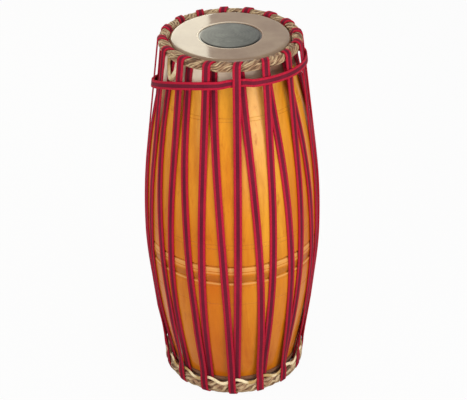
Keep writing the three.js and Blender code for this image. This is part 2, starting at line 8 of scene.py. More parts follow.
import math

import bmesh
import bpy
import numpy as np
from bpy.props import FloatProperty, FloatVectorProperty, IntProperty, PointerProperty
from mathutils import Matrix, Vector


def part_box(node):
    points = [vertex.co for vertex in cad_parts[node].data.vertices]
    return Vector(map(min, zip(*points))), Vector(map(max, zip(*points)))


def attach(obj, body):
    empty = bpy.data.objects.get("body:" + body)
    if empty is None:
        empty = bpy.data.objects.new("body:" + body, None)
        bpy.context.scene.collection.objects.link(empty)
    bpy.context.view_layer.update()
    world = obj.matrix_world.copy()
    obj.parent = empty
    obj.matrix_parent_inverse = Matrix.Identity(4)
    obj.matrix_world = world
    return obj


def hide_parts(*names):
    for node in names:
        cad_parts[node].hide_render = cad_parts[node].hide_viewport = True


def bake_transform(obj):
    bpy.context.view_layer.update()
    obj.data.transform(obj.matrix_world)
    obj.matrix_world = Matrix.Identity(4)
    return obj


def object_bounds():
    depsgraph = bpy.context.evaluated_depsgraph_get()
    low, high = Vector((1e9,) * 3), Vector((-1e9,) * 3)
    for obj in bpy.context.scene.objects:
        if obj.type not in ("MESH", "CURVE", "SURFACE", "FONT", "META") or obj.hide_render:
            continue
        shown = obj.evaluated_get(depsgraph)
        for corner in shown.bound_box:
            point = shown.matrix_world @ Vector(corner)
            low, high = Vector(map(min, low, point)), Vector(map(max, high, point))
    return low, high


bl_info = {
    "name": "Mridangam",
    "version": (1, 0, 0),
    "blender": (4, 5, 0),
    "location": "View3D > Sidebar > Mridangam",
    "description": "Makes the shell, heads, plaits and lacing of a mridangam round its packed solids",
    "category": "Object",
}

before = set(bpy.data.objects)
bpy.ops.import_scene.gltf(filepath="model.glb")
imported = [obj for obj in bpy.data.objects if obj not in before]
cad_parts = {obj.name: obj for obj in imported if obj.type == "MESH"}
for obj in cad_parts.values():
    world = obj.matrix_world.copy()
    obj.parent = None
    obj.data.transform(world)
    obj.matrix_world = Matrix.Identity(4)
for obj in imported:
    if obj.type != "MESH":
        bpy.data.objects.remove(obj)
CAD_LOW, CAD_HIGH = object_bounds()

IMAGE_WIDTH = 467  # pixels of the photograph's frame
SENSOR_WIDTH = 36.0  # millimetres, as camera lenses are given
MM = 0.001
HAIR = 0.1 * MM  # a length too small to see
FULL_TURN = 2 * math.pi
LEFT = -1
RIGHT = 1
END_NAMES = {RIGHT: "right_", LEFT: "left_"}
SEED = 7

# Skins over each rim, from the inside out
SKINS = {RIGHT: ("inner_skin", "main_skin", "outer_skin"), LEFT: ("main_skin", "outer_skin")}

# Clearances that the solids keep
CLEARANCE = 0.3 * MM
GIRDLE_CLEARANCE = 0.5 * MM
HOOP_TRAVEL = 2 * MM

# Fineness of the meshes
TURNED_SEGMENTS = 256
PROFILE_STEP = 4 * MM
STRAP_STEP = 4 * MM
BORE_STEP = 30 * MM
SKIRT_POINTS = 14
FACE_POINTS = 14
ROUND_POINTS = 7
CUT_POINTS = 13
PATCH_POINTS = 24
LOOP_POINTS = 22
GIRDLE_POINTS = 300
TAIL_POINTS = 40
WAVE_POINTS = 24  # of the left thong, for each loop of the lacing
STRAND_STATIONS = 36  # for each loop of the lacing
STRAND_SIDES = 10
CORE_SIDES = 24
LAY_ROUNDS = 6  # of working out where a strap lies
SMOOTH_ANGLE = math.radians(38)

# Waves that make up an unevenness: their number, how many go round the drum, and where they begin
WAVES = 5
WAVES_ROUND = (5, 48)
WAVE_STARTS = (0, 6)


def paint(red, green, blue):
    """A colour in display values from 0 to 255, as the linear values that shaders work in."""
    shares = [value / 255 for value in (red, green, blue)]
    linear = [s / 12.92 if s <= 0.04045 else ((s + 0.055) / 1.055) ** 2.4 for s in shares]
    return (*linear, 1.0)


# Colours that a user has no need to change
WHITE = (1.0, 1.0, 1.0, 1.0)
# Wax and painted shade in the turned lines, and painted shade on the band's lower half
WAX_AND_SHADE = paint(92, 44, 14)
PORE = paint(112, 84, 60)
PALE_PASTE = paint(112, 115, 107)
GRIT = paint(60, 60, 54)
PASTE_RIM = paint(50, 46, 38)
# Darker towards each plait strand's edges
STRAND_EDGE_DARK = paint(78, 52, 34)
FADED = paint(206, 52, 82)
# Dark yarn flecks, and painted shade towards the bottom of the straps
DARK_YARN_AND_SHADE = paint(70, 10, 26)
CREASE = paint(124, 92, 56)
PANEL_TINT = (1.0, 0.985, 0.8)


def size(name, millimetres, description):
    """A length that a user can change."""
    default = millimetres * MM
    return FloatProperty(name=name, description=description, default=default, unit="LENGTH", precision=5)


def turn(name, degrees, description):
    """An angle that a user can change."""
    return FloatProperty(name=name, description=description, default=math.radians(degrees), subtype="ANGLE")


def number(name, value, description):
    """A plain number that a user can change."""
    return FloatProperty(name=name, description=description, default=value)


def count(name, value, description):
    """A whole number that a user can change."""
    return IntProperty(name=name, description=description, default=value)


def group(kind, name, description):
    """A group of settings."""
    return PointerProperty(type=kind, name=name, description=description)


def colour(name, red, green, blue, description):
    """A colour that a user can change, written in display values from 0 to 255."""
    linear = paint(red, green, blue)
    return FloatVectorProperty(name=name, description=description, default=linear, size=4, subtype="COLOR")


class ShellSettings(bpy.types.PropertyGroup):
    """The hollowed block of jackwood."""

    belly_height: size("Belly height", 251.5, "From the left rim up to the widest ring")
    right_rim_radius: size("Right rim radius", 84.4, "Outside, at the treble end")
    left_rim_radius: size("Left rim radius", 97, "Outside, at the bass end")
    right_fullness: number("Right fullness", 2.2, "Power of the curve from the belly to the right rim")
    left_fullness: number("Left fullness", 1.75, "Power of the curve from the belly to the left rim")
    wall: size("Wall", 13, "Thickness of the wall, measured level")
    rim_round: size("Rim rounding", 2.5, "Rounding of the rims' outer edges")
    band_height: size("Band height", 28, "Turned band round the belly, between its two grooves")
    band_drop: size("Band drop", 11, "From the widest ring down to the band's middle")
    band_crown: size("Band crown", 1.2, "How far the band's face rounds off towards its grooves")
    groove_width: size("Groove width", 5, "Width of the two grooves beside the band")
    groove_depth: size("Groove depth", 3, "Depth of the two grooves beside the band")
    line_width: size("Line width", 1.6, "Width of the fine lines turned into the wood")
    line_depth: size("Line depth", 0.4, "Depth of the fine lines turned into the wood")
    amber: colour("Amber", 203, 106, 3, "Main colour of the varnished wood")
    # Honey also paints light on the shell's top and on a strip at its right front
    honey: colour("Honey", 236, 168, 46, "Paler streaks of the wood")
    # Russet also paints shade towards the shell's bottom
    russet: colour("Russet", 176, 82, 3, "Darker figure of the wood")
    # Painted highlight colour: the window at the upper right, the band's upper half and the lips below the
    # grooves
    highlight_colour: colour("Sapwood", 252, 204, 128, "Palest wood, also where the turned edges are worn")


class HeadSettings(bpy.types.PropertyGroup):
    """The skins of both heads, and the patch on the treble one."""

    right_inner_skin: size("Right inner skin", 1.0, "Thickness of the hidden ring skin")
    right_main_skin: size("Right main skin", 0.8, "Thickness of the treble head's sounding skin")
    right_outer_skin: size("Right outer skin", 1.2, "Thickness of the treble head's outer ring skin")
    right_inner_hole: size("Right inner hole", 62, "Radius of the hole in the hidden ring skin")
    right_skirt: size("Right skirt", 28, "How far the treble skins come down the shell")
    patch_radius: size("Patch radius", 43.6, "Radius of the tuning patch")
    patch_margin: size("Patch margin", 3, "Bare skin between the patch and the outer skin's edge")
    patch_edge: size("Patch edge", 1.0, "Thickness of the patch at its rim")
    patch_crown: size("Patch crown", 2.2, "Thickness of the patch in its middle")
    left_main_skin: size("Left main skin", 0.8, "Thickness of the bass head's sounding skin")
    left_outer_skin: size("Left outer skin", 1.2, "Thickness of the bass head's outer ring skin")
    left_hole: size("Left hole", 58, "Radius of the hole in the bass head's outer ring skin")
    left_skirt: size("Left skirt", 21, "How far the bass skins come up the shell")
    hide: colour("Hide", 138, 110, 84, "Glazed hide of the skins")
    hide_pale: colour("Pale hide", 156, 131, 103, "Paler clouds in the hide")
    # Raw hide is also the lit end of the skirts' painted light and shade
    hide_raw: colour("Raw hide", 255, 238, 210, "Cut edges and skirts, which aren't rubbed or stained")
    # Painted shade on the skirts, towards the right and on the bass end
    hide_shaded: colour("Dark hide", 138, 98, 74, "Skirts where they are darkened by handling")
    hide_stained: colour("Stained hide", 42, 37, 31, "Sounding skin beside the patch")
    paste: colour("Paste", 46, 48, 44, "Hardened paste of the patch")


class PlaitSettings(bpy.types.PropertyGroup):
    """The plaited hoops round both heads."""

    fullness: number("Fullness", 2.4, "Squareness of a hoop's section, where 2 is an ellipse")
    right_width: size("Right width", 11, "Width of the treble hoop's section")
    left_width: size("Left width", 6.4, "Width of the bass hoop's section")
    right_strands: count("Right strands", 14, "Strands in the treble plait")
    left_strands: count("Left strands", 7, "Strands in the bass plait")
    right_turns: count("Right turns", 9, "Turns of a treble strand")
    left_turns: count("Left turns", 6, "Turns of a bass strand")
    right_strand: size("Right strand", 2.4, "Thickness of a treble strand")
    left_strand: size("Left strand", 3.6, "Thickness of a bass strand")
    bulge: size("Bulge", 2.1, "Swelling up and out between the straps, less at the back of the treble plait")
    inward: size("Inward", 5.5, "How far the treble plait presses against the head between the straps")
    tan: colour("Tan", 168, 130, 98, "Main colour of the plaited hide")
    straw: colour("Straw", 206, 180, 140, "Palest strands")
    bark: colour("Bark", 86, 58, 38, "Darkest strands")


class LacingSettings(bpy.types.PropertyGroup):
    """The webbing that runs to and fro between the hoops."""

    loops: count("Loops", 16, "Loops over each hoop")
    width: size("Strap width", 12, "Width of the webbing")
    thickness: size("Strap thickness", 2.2, "Thickness of the webbing")
    top_out: turn("Top outside", 4.3, "Bearing where the first loop climbs outside the right hoop")
    top_in: turn("Top inside", 7.7, "Bearing where the first loop drops inside the right hoop")
    bottom_in: turn("Bottom inside", 2.0, "Bearing where the first loop leaves the inside of the left hoop")
    bottom_out: turn("Bottom outside", -1.8, "Bearing where the last strap reaches the left hoop's outside")
    slant_bow: turn("Slant bow", 1.8, "How far a slanting run bows sideways at its middle")
    crowding: turn("Crowding", 2.0, "How much further back loops at the sides lie than evenly spaced")
    twist: turn("Twist", 20, "How far a strap at the sides is turned on itself where it hangs free")
    sag: size("Sag", 2.6, "How far a slanting run sags towards the shell where it hangs free")
    split: size("Split", 258, "Height at which the upper and lower loops of the lacing meet")
    stripe: number("Stripe", 0.44, "Share of the webbing's width that the middle stripe takes")
    crimson: colour("Crimson", 187, 30, 55, "The two outer stripes of the webbing")
    plum: colour("Plum", 99, 30, 46, "The middle stripe of the webbing")


class GirdleSettings(bpy.types.PropertyGroup):
    """The band drawn slantwise round the lacing."""

    drop: size("Drop", 54.6, "From the treble head's face down to the girdle's mean height")
    front_rise: size("Front rise", 27.6, "Rise above the mean height at the front")
    right_rise: size("Right rise", 20.2, "Rise above the mean height at the right")
    wave: size("Wave", 7.3, "Extra rise at the front left and back right, and fall between them")
    seam: turn("Seam", 170, "Bearing of its inner end, at the back")
    lap: turn("Lap", 22, "How far its ends lap")
    ramp: turn("Ramp", 14, "Turn in which it steps over its own end")
    tuck_flat: turn("Tuck", 5, "Turn each side of the front strap that it runs level beneath it")
    tuck_ramp: turn("Tuck ramp", 9, "Turn in which it dips beneath the front strap")


class ThongSettings(bpy.types.PropertyGroup):
    """The rawhide thongs that bind the skins to the hoops."""

    width: size("Width", 5.6, "Width of the left thong")
    thickness: size("Thickness", 3.2, "Thickness of the left thong")
    round: size("Round", 2, "Radius that the thongs' lines are spaced for")
    left_rise: size("Left rise", 17, "Crests of the left thong above the middle of its hoop")
    left_lean: turn("Left lean", 58, "Angle above level at which its dips lie on the hoop")
    uneven: size("Uneven", 1.2, "How far the left thong strays from an even wave")
    tail_bearing: turn("Tail bearing", -54.5, "Middle of the tail that hangs below the right hoop")
    tail_spread: turn("Tail spread", 8, "Turn from the tail's middle to each end")
    tail_drop: size("Tail drop", 27, "From the tail's ends to its lowest point")
    tail_width: size("Tail width", 7.5, "Width of the tail below the right hoop")
    tail_thickness: size("Tail thickness", 4.2, "Thickness of the tail below the right hoop")
    rawhide: colour("Rawhide", 244, 225, 182, "Pale untanned hide of the thongs")
    olive: colour("Olive", 186, 152, 88, "Where the thongs are dried and yellowed")


class StageSettings(bpy.types.PropertyGroup):
    """Camera, lights and floor."""

    camera_back: size("Camera distance", 1776, "From the axis to the camera, measured level")
    camera_height: size("Camera height", 1369.4, "Of the camera above the floor")
    camera_pitch: turn("Camera pitch", 31.083, "How far the camera looks down")
    camera_yaw: turn("Camera yaw", 0.065, "How far the camera looks to the right")
    camera_roll: turn("Camera roll", -0.653, "How far the camera leans")
    focal_pixels: number("Focal length", 1322.0, "Focal length in pixels of the photograph's frame")
    world_light: number("World light", 0.43, "Even light from all round")
    side_light: number("Side light", 6.8, "Radiance of the soft box at the front right")
    fill_light: number("Fill light", 3.8, "Radiance of the soft box at the front left")
    top_light: number("Top light", 2.3, "Radiance of the soft box overhead")
    back_light: number("Back light", 4.0, "Radiance of the panel behind, mirrored in the treble head")
    floor: colour("Floor", 206, 206, 204, "Pale floor")
    floor_share: number("Floor shade", 0.05, "Share of the floor's look that takes light and shadow")


class MridangamSettings(bpy.types.PropertyGroup):
    """All that a user would change."""

    shell: group(ShellSettings, "Shell", "The wooden body")
    head: group(HeadSettings, "Heads", "Skins and patch")
    plait: group(PlaitSettings, "Plaits", "Hoops round the heads")
    lacing: group(LacingSettings, "Lacing", "Webbing between the hoops")
    girdle: group(GirdleSettings, "Girdle", "Band round the lacing")
    thong: group(ThongSettings, "Thongs", "Rawhide at the hoops")
    stage: group(StageSettings, "Stage", "Camera, lights and floor")


def at_end(owner, side, what):
    """What the owner has for the right or the left end of the drum."""
    return getattr(owner, END_NAMES[side] + what)


def smoothstep(value, low, high):
    """0 below low, 1 above high, and an even curve between."""
    share = np.clip((value - low) / (high - low), 0, 1)
    return share * share * (3 - 2 * share)


def carried(value, start, end, first, last):
    """Goes evenly from first to last as the value goes from start to end."""
    return first + (last - first) * ((value - start) / (end - start))


def near(value, middle, reach):
    """1 at the middle, falling evenly to 0 a reach away from it."""
    return np.clip(1 - np.abs(value - middle) / reach, 0, 1)


def waver(random, bearing, amount):
    """An uneven rise and fall round the drum, of about this amount."""
    phases = [bearing * random.integers(*WAVES_ROUND) + random.uniform(*WAVE_STARTS) for _ in range(WAVES)]
    return sum(random.normal(0, amount / 2) * np.sin(phase) for phase in phases)


def ring_angles(points):
    """Even angles for the points of a closed ring."""
    return np.linspace(0, FULL_TURN, points, endpoint=False)


def place(line, bearing):
    """Points in space of (radius, height) pairs at the given bearings."""
    radius, height = np.moveaxis(np.asarray(line, float), -1, 0)
    parts = np.broadcast_arrays(radius * np.sin(bearing), -radius * np.cos(bearing), height)
    return np.stack(parts, axis=-1)


def unit(vectors):
    """Vectors scaled to length 1."""
    return vectors / np.linalg.norm(vectors, axis=-1, keepdims=True)


def steps_along(points, closed=False):
    """Direction of a line at each of its points."""
    if closed:
        return unit(np.roll(points, -1, axis=0) - np.roll(points, 1, axis=0))
    return unit(np.gradient(points, axis=0))


def lengths_along(points):
    """Distance gone along a line at each of its points."""
    gone = np.linalg.norm(np.diff(points, axis=0), axis=1)
    return np.concatenate([[0], np.cumsum(gone)])


def even_line(line, step):
    """The same line with points at most a step apart."""
    gone = lengths_along(line)
    points = max(2, math.ceil(gone[-1] / step) + 1)
    at = np.union1d(gone, np.linspace(0, gone[-1], points))
    return np.stack([np.interp(at, gone, column) for column in line.T], axis=1)


def taut(start, end, over):
    """The line of a strap stretched from start up to end over the given points: their outer hull."""
    between = over[(over[:, 1] > start[1]) & (over[:, 1] < end[1])]
    between = between[np.argsort(between[:, 1])]
    line = []
    for point in [start, *between, end]:
        while len(line) >= 2:
            rise = line[-1] - line[-2]
            step = point - line[-2]
            if rise[1] * step[0] - rise[0] * step[1] < 0:
                break
            line.pop()
        line.append(point)
    return np.array(line)


def radius_at(line, height):
    """Radius of a line of (radius, height) pairs at the given heights."""
    return np.interp(height, line[:, 1], line[:, 0])


def part_of(line, height, side):
    """The part of a line above a height (RIGHT) or below it (LEFT), cut exactly there."""
    cut = np.array([[radius_at(line, height), height]])
    if side == RIGHT:
        return np.concatenate([cut, line[line[:, 1] > height + MM]])
    return np.concatenate([line[line[:, 1] < height - MM], cut])


class Hoop:
    """A plaited hoop's section, with its place and height taken from its solid."""

    def __init__(self, node, width, fullness):
        low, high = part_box(node)
        self.width = width
        self.height = high.z - low.z
        self.z = (low.z + high.z) / 2
        self.radius = high.x - width / 2
        self.fullness = fullness

    def shares(self, angle):
        """How far across and up the section, -1 to 1. Angle 0 is outermost, a quarter turn uppermost."""
        power = 2 / self.fullness
        across = np.sign(np.cos(angle)) * np.abs(np.cos(angle)) ** power
        up = np.sign(np.sin(angle)) * np.abs(np.sin(angle)) ** power
        return across, up

    def point(self, angle, grow):
        """Point on the section, enlarged by grow all round."""
        across, up = self.shares(angle)
        radius = self.radius + (self.width / 2 + grow) * across
        return np.stack([radius, self.z + (self.height / 2 + grow) * up], axis=-1)


class Drum:
    """Heights, profiles and strap lines that follow from the settings."""

    def __init__(self, settings):
        low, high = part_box("shell")
        plait = settings.plait
        self.shell = settings.shell
        self.head = settings.head
        self.lacing = settings.lacing
        self.left_rim = low.z
        self.right_rim = high.z
        self.belly_radius = high.x
        self.belly = self.left_rim + self.shell.belly_height
        self.right_stack = self.stacked(RIGHT)
        self.left_stack = self.stacked(LEFT)
        self.right_face = self.right_rim + self.right_stack
        self.right_hoop = Hoop("right_hoop", plait.right_width, plait.fullness)
        self.left_hoop = Hoop("left_hoop", plait.left_width, plait.fullness)
        self.pitch = FULL_TURN / self.lacing.loops
        self.reach = CLEARANCE + self.lacing.thickness / 2
        self.draw_runs()

    def stacked(self, side):
        """Thickness of all the skins over a rim, with a clearance beneath each."""
        return sum(at_end(self.head, side, skin) + CLEARANCE for skin in SKINS[side])

    def radius(self, z):
        """Outside radius of the shell, with its grooves and rounded rims left out."""
        radius = self.belly_radius
        for side in (RIGHT, LEFT):
            gone = np.clip((z - self.belly) / (at_end(self, side, "rim") - self.belly), 0, None)
            fall = self.belly_radius - at_end(self.shell, side, "rim_radius")
            radius = radius - fall * gone ** at_end(self.shell, side, "fullness")
        return radius

    def normal(self, z):
        """Outward normal of the shell's side, as (radius, height) pairs."""
        step = 0.5 * MM
        slope = (self.radius(z + step) - self.radius(z - step)) / (2 * step)
        return unit(np.stack([np.ones_like(slope), -slope], axis=-1))

    def side(self, z, distance):
        """Points at a distance outside the shell's side."""
        z = np.asarray(z, float)
        distance = np.asarray(distance, float)
        return np.stack([self.radius(z), z], axis=-1) + self.normal(z) * distance[..., None]

    def cover(self, z):
        """Thickness of the skins that cover the shell's side at a height."""
        right = np.where(z >= self.right_rim - self.head.right_skirt, self.right_stack, 0)
        return np.where(z <= self.left_rim + self.head.left_skirt, self.left_stack, right)

    def lay_radius(self, height):
        """Radius of a strap's middle line where it lies on the shell or the skins at that height."""
        z = np.asarray(height, float)
        for _ in range(LAY_ROUNDS):
            z = z + height - self.side(z, self.cover(z) + self.reach)[..., 1]
        return self.side(z, self.cover(z) + self.reach)[..., 0]

    def straight_bearing(self, z):
        """Bearing of the first loop's straight run, from inside the left hoop to outside the right one."""
        low, high = self.straight_low[1], self.straight_high[1]
        return carried(z, low, high, self.lacing.bottom_in, self.lacing.top_out)

    def slant_bearing(self, z):
        """Bearing of the first loop's slanting run, which ends a loop further on at the left hoop."""
        share = carried(z, self.slant_low[1], self.slant_high[1], 0, 1)
        even = carried(share, 0, 1, self.lacing.bottom_out + self.pitch, self.lacing.top_in)
        return even + self.lacing.slant_bow * np.sin(math.pi * share)

    def settled(self, bearing):
        """Bearing at which a strap really lies: hand-laced loops are a little wider apart at the front."""
        return bearing + self.lacing.crowding * np.sin(bearing)

    def draw_runs(self):
        """The straight and the slanting run, each lifted where it crosses over another strap."""
        self.straight_low = np.array([self.lay_radius(self.left_hoop.z), self.left_hoop.z])
        self.straight_high = self.right_hoop.point(0.0, self.reach)
        self.slant_low = self.left_hoop.point(0.0, self.reach)
        self.slant_high = np.array([self.lay_radius(self.right_hoop.z), self.right_hoop.z])
        rows = math.ceil((self.right_rim - self.left_rim) / PROFILE_STEP)
        z = np.linspace(self.left_rim, self.right_rim, rows)
        rests = self.side(z, self.cover(z) + self.reach)
        radius, height = rests.T
        straight_ends = (self.straight_low, self.straight_high)
        slant_ends = (self.slant_low, self.slant_high)
        apart = self.straight_bearing(height) - self.slant_bearing(height)
        need = self.lacing.width + 2 * CLEARANCE
        over_own = (height > self.belly) & (np.abs(apart) * radius < need)
        over_next = (height < self.belly) & (np.abs(apart + self.pitch) * radius < need)
        self.straight_run = self.lifted_run(straight_ends, slant_ends, rests, over_own)
        self.slant_run = self.lifted_run(slant_ends, straight_ends, rests, over_next)

    def lifted_run(self, ends, other_ends, rests, crossing):
        """A strap's line, taut over its rests, and over the other strap where they are crossing."""
        radius, height = rests.T
        layer = self.lacing.thickness + CLEARANCE
        other = radius_at(taut(*other_ends, rests), height) + layer
        raised = np.where(crossing, np.maximum(radius, other), radius)
        return even_line(taut(*ends, np.stack([raised, height], axis=1)), STRAP_STEP)

    def rim_round(self, side):
        """Rounding of a rim's edge: its centre, and the height and normal where the shell's side begins."""
        rim = at_end(self, side, "rim")
        rounding = self.shell.rim_round
        rise = self.normal(np.array(rim - side * rounding / 2))[1] * side
        end = rim - side * rounding * (1 - rise)
        end_normal = self.normal(np.array(end))
        centre = np.array([self.radius(end) - end_normal[0] * rounding, rim - side * rounding])
        return centre, end, end_normal

    def outside_skins(self, side, points, margin):
        """Points moved out to a margin from the skins over a rim, with the hoop at the end of its travel."""
        centre, _, _ = self.rim_round(side)
        radius, height = np.moveaxis(points, -1, 0)
        moved = height - side * HOOP_TRAVEL
        out = radius - centre[0]
        up = (moved - centre[1]) * side
        clear = self.shell.rim_round + at_end(self, side, "stack") + CLEARANCE + margin
        push = np.maximum(clear / np.maximum(np.hypot(out, up), HAIR), 1)
        beside = np.maximum(radius, self.lay_radius(moved) - self.lacing.thickness / 2 + margin)
        on_round = (up > 0) & (out > 0)
        new_radius = np.where(on_round, centre[0] + out * push, beside)
        new_height = np.where(on_round, height + side * up * (push - 1), height)
        return np.stack([new_radius, new_height], axis=-1)

    def rim_curve(self, side, start_radius, skirt):
        """Profiles over one rim, from start_radius on the flat, round the edge and along the shell's side.

        skirt holds how far each profile goes along the side. Returns rows of points and of their outward
        normals, with a column for each profile, and how many of the rows lie on the shell's side.
        """
        skirt = np.atleast_1d(np.asarray(skirt, float))
        centre, round_end, end_normal = self.rim_round(side)
        end_angle = math.atan2(end_normal[1] * side, end_normal[0])
        angle = np.linspace(math.pi / 2, end_angle, ROUND_POINTS)
        round_normals = np.stack([np.cos(angle), np.sin(angle) * side], axis=1)
        flat = np.linspace(start_radius, centre[0], FACE_POINTS)[:-1]
        flat_points = np.stack([flat, np.full_like(flat, at_end(self, side, "rim"))], axis=1)
        flat_normals = np.tile([0.0, side], (len(flat), 1))
        z = round_end - side * np.linspace(0, 1, SKIRT_POINTS)[1:, None] * skirt
        if skirt.max() == 0:
            z = z[:0]
        over = np.concatenate([flat_points, centre + self.shell.rim_round * round_normals])[:, None]
        over_normals = np.concatenate([flat_normals, round_normals])[:, None]
        columns = np.zeros((1, len(skirt), 1))
        points = np.concatenate([over + columns, self.side(z, np.zeros_like(z))])
        normals = np.concatenate([over_normals + columns, self.normal(z)])
        return points, normals, len(z)


class Pieces:
    """Gathers grids of points into one mesh, with surface coordinates and a tint at each point."""

    JOINING = 0.001 * MM  # distance within which points become one

    def __init__(self):
        self.points = []
        self.surface = []
        self.tints = []
        self.faces = []
        self.count = 0

    def add(self, grid, across=0.0, along=0.0, ring_rows=False, caps=False, tint=0.0):
        """Adds a grid, each row of it a closed ring. ring_rows joins the last row to the first.

        across and along are the surface coordinates of its points.
        """
        shape = grid.shape[:2]
        self.points.append(grid.reshape(-1, 3))
        surface = [np.broadcast_to(part, shape).ravel() for part in (across, along)]
        self.surface.append(np.stack(surface, axis=1))
        self.tints.append(np.broadcast_to(tint, shape).ravel())
        at = self.count + np.arange(shape[0] * shape[1]).reshape(shape)
        self.count += at.size
        upper = np.roll(at, -1, axis=0) if ring_rows else at[1:]
        lower = at if ring_rows else at[:-1]
        quads = np.stack([lower, np.roll(lower, -1, axis=1), np.roll(upper, -1, axis=1), upper], axis=-1)
        self.faces.extend(quads.reshape(-1, 4).tolist())
        if caps:
            self.faces.append(at[0].tolist())
            self.faces.append(at[-1][::-1].tolist())
        return self

    def turned(self, outline, tint=0.0):
        """Adds a solid of revolution from an outline with one column of pairs, or one for each bearing."""
        bearing = ring_angles(TURNED_SEGMENTS)
        gone = lengths_along(outline[:, 0])[:, None]
        hollow = outline[0, 0, 0] > 0
        return self.add(place(outline, bearing), gone, bearing, hollow, tint=np.reshape(tint, (-1, 1)))

    def swept(self, middle, across, face, section, sizes, closed=False, tint=0.0):
        """Adds a section along a line. It is given in half-sizes across the line and out of its face."""
        wide, thick = (np.broadcast_to(value, len(middle))[:, None, None] / 2 for value in sizes)
        spread, out = section
        grid = middle[:, None] + across[:, None] * wide * spread[:, None]
        grid = grid + face[:, None] * thick * out[:, None]
        return self.add(grid, spread, lengths_along(middle)[:, None], closed, not closed, tint)

    def tube(self, middle, outward, sizes, closed=False, tint=0.0):
        """Adds a flattened round strand along a line, its flat side facing outward."""
        along = steps_along(middle, closed)
        face = unit(outward - np.sum(outward * along, axis=1, keepdims=True) * along)
        angle = ring_angles(STRAND_SIDES)
        section = (np.cos(angle), np.sin(angle))
        return self.swept(middle, np.cross(along, face), face, section, sizes, closed, tint)

    def band(self, path, lacing, faces=None, twist=0.0):
        """Adds a length of webbing along a path of (radius, height, bearing) rows.

        Its width lies level, or square to the path where faces gives the face's direction at each row.
        twist is how far it is turned on itself, all along or at each row.
        """
        line, bearing = path[:, :2], path[:, 2]
        middle = place(line, bearing)
        if faces is None:
            step = np.gradient(line, axis=0)
            face = place(unit(np.stack([step[:, 1], -step[:, 0]], axis=1)), bearing)
            across = np.cross([0.0, 0.0, 1.0], place([1.0, 0.0], bearing))
        else:
            face = place(faces, bearing)
            across = unit(np.cross(steps_along(middle), face))
        turned = np.broadcast_to(twist, len(path))[:, None]
        facing = face * np.cos(turned) + across * np.sin(turned)
        across = across * np.cos(turned) - face * np.sin(turned)
        sizes = (lacing.width, lacing.thickness)
        return self.swept(middle, across, facing, webbing_section(lacing.stripe), sizes)

    def make(self, name, material):
        """The mesh as an object, with doubled points joined and its faces pointing out."""
        mesh = bpy.data.meshes.new(name)
        mesh.from_pydata(np.concatenate(self.points).tolist(), [], self.faces)
        tint = mesh.attributes.new("tint", "FLOAT", "POINT")
        tint.data.foreach_set("value", np.concatenate(self.tints).astype(np.float32))
        corners = np.zeros(len(mesh.loops), np.int32)
        mesh.loops.foreach_get("vertex_index", corners)
        layer = mesh.uv_layers.new(name="surface")
        layer.data.foreach_set("uv", np.concatenate(self.surface)[corners].astype(np.float32).ravel())
        work = bmesh.new()
        work.from_mesh(mesh)
        bmesh.ops.remove_doubles(work, verts=work.verts, dist=self.JOINING)
        bmesh.ops.recalc_face_normals(work, faces=work.faces)
        work.to_mesh(mesh)
        work.free()
        mesh.shade_smooth()
        mesh.set_sharp_from_angle(angle=SMOOTH_ANGLE)
        mesh.materials.append(material)
        made = bpy.data.objects.new(name, mesh)
        bpy.context.scene.collection.objects.link(made)
        return made


def webbing_section(stripe):
    """Half-sizes across and out of the webbing's section: round edges, and a fold beside each stripe."""
    rounding, edge_thickness = 0.07, 0.94
    fold, fold_thickness = 0.03, 0.86
    edge = np.linspace(math.pi / 2, -math.pi / 2, ROUND_POINTS)
    edge_across = 1 - rounding + rounding * np.cos(edge)
    edge_out = edge_thickness * np.sin(edge)
    folds = stripe + fold * np.array([-1, 0, 1])
    folds = np.concatenate([-folds[::-1], folds])
    folds_out = np.array([1.0, fold_thickness, 1.0] * 2)
    across = np.concatenate([folds, edge_across, -folds, -edge_across])
    out = np.concatenate([folds_out, edge_out, -folds_out, -edge_out])
    return across, out


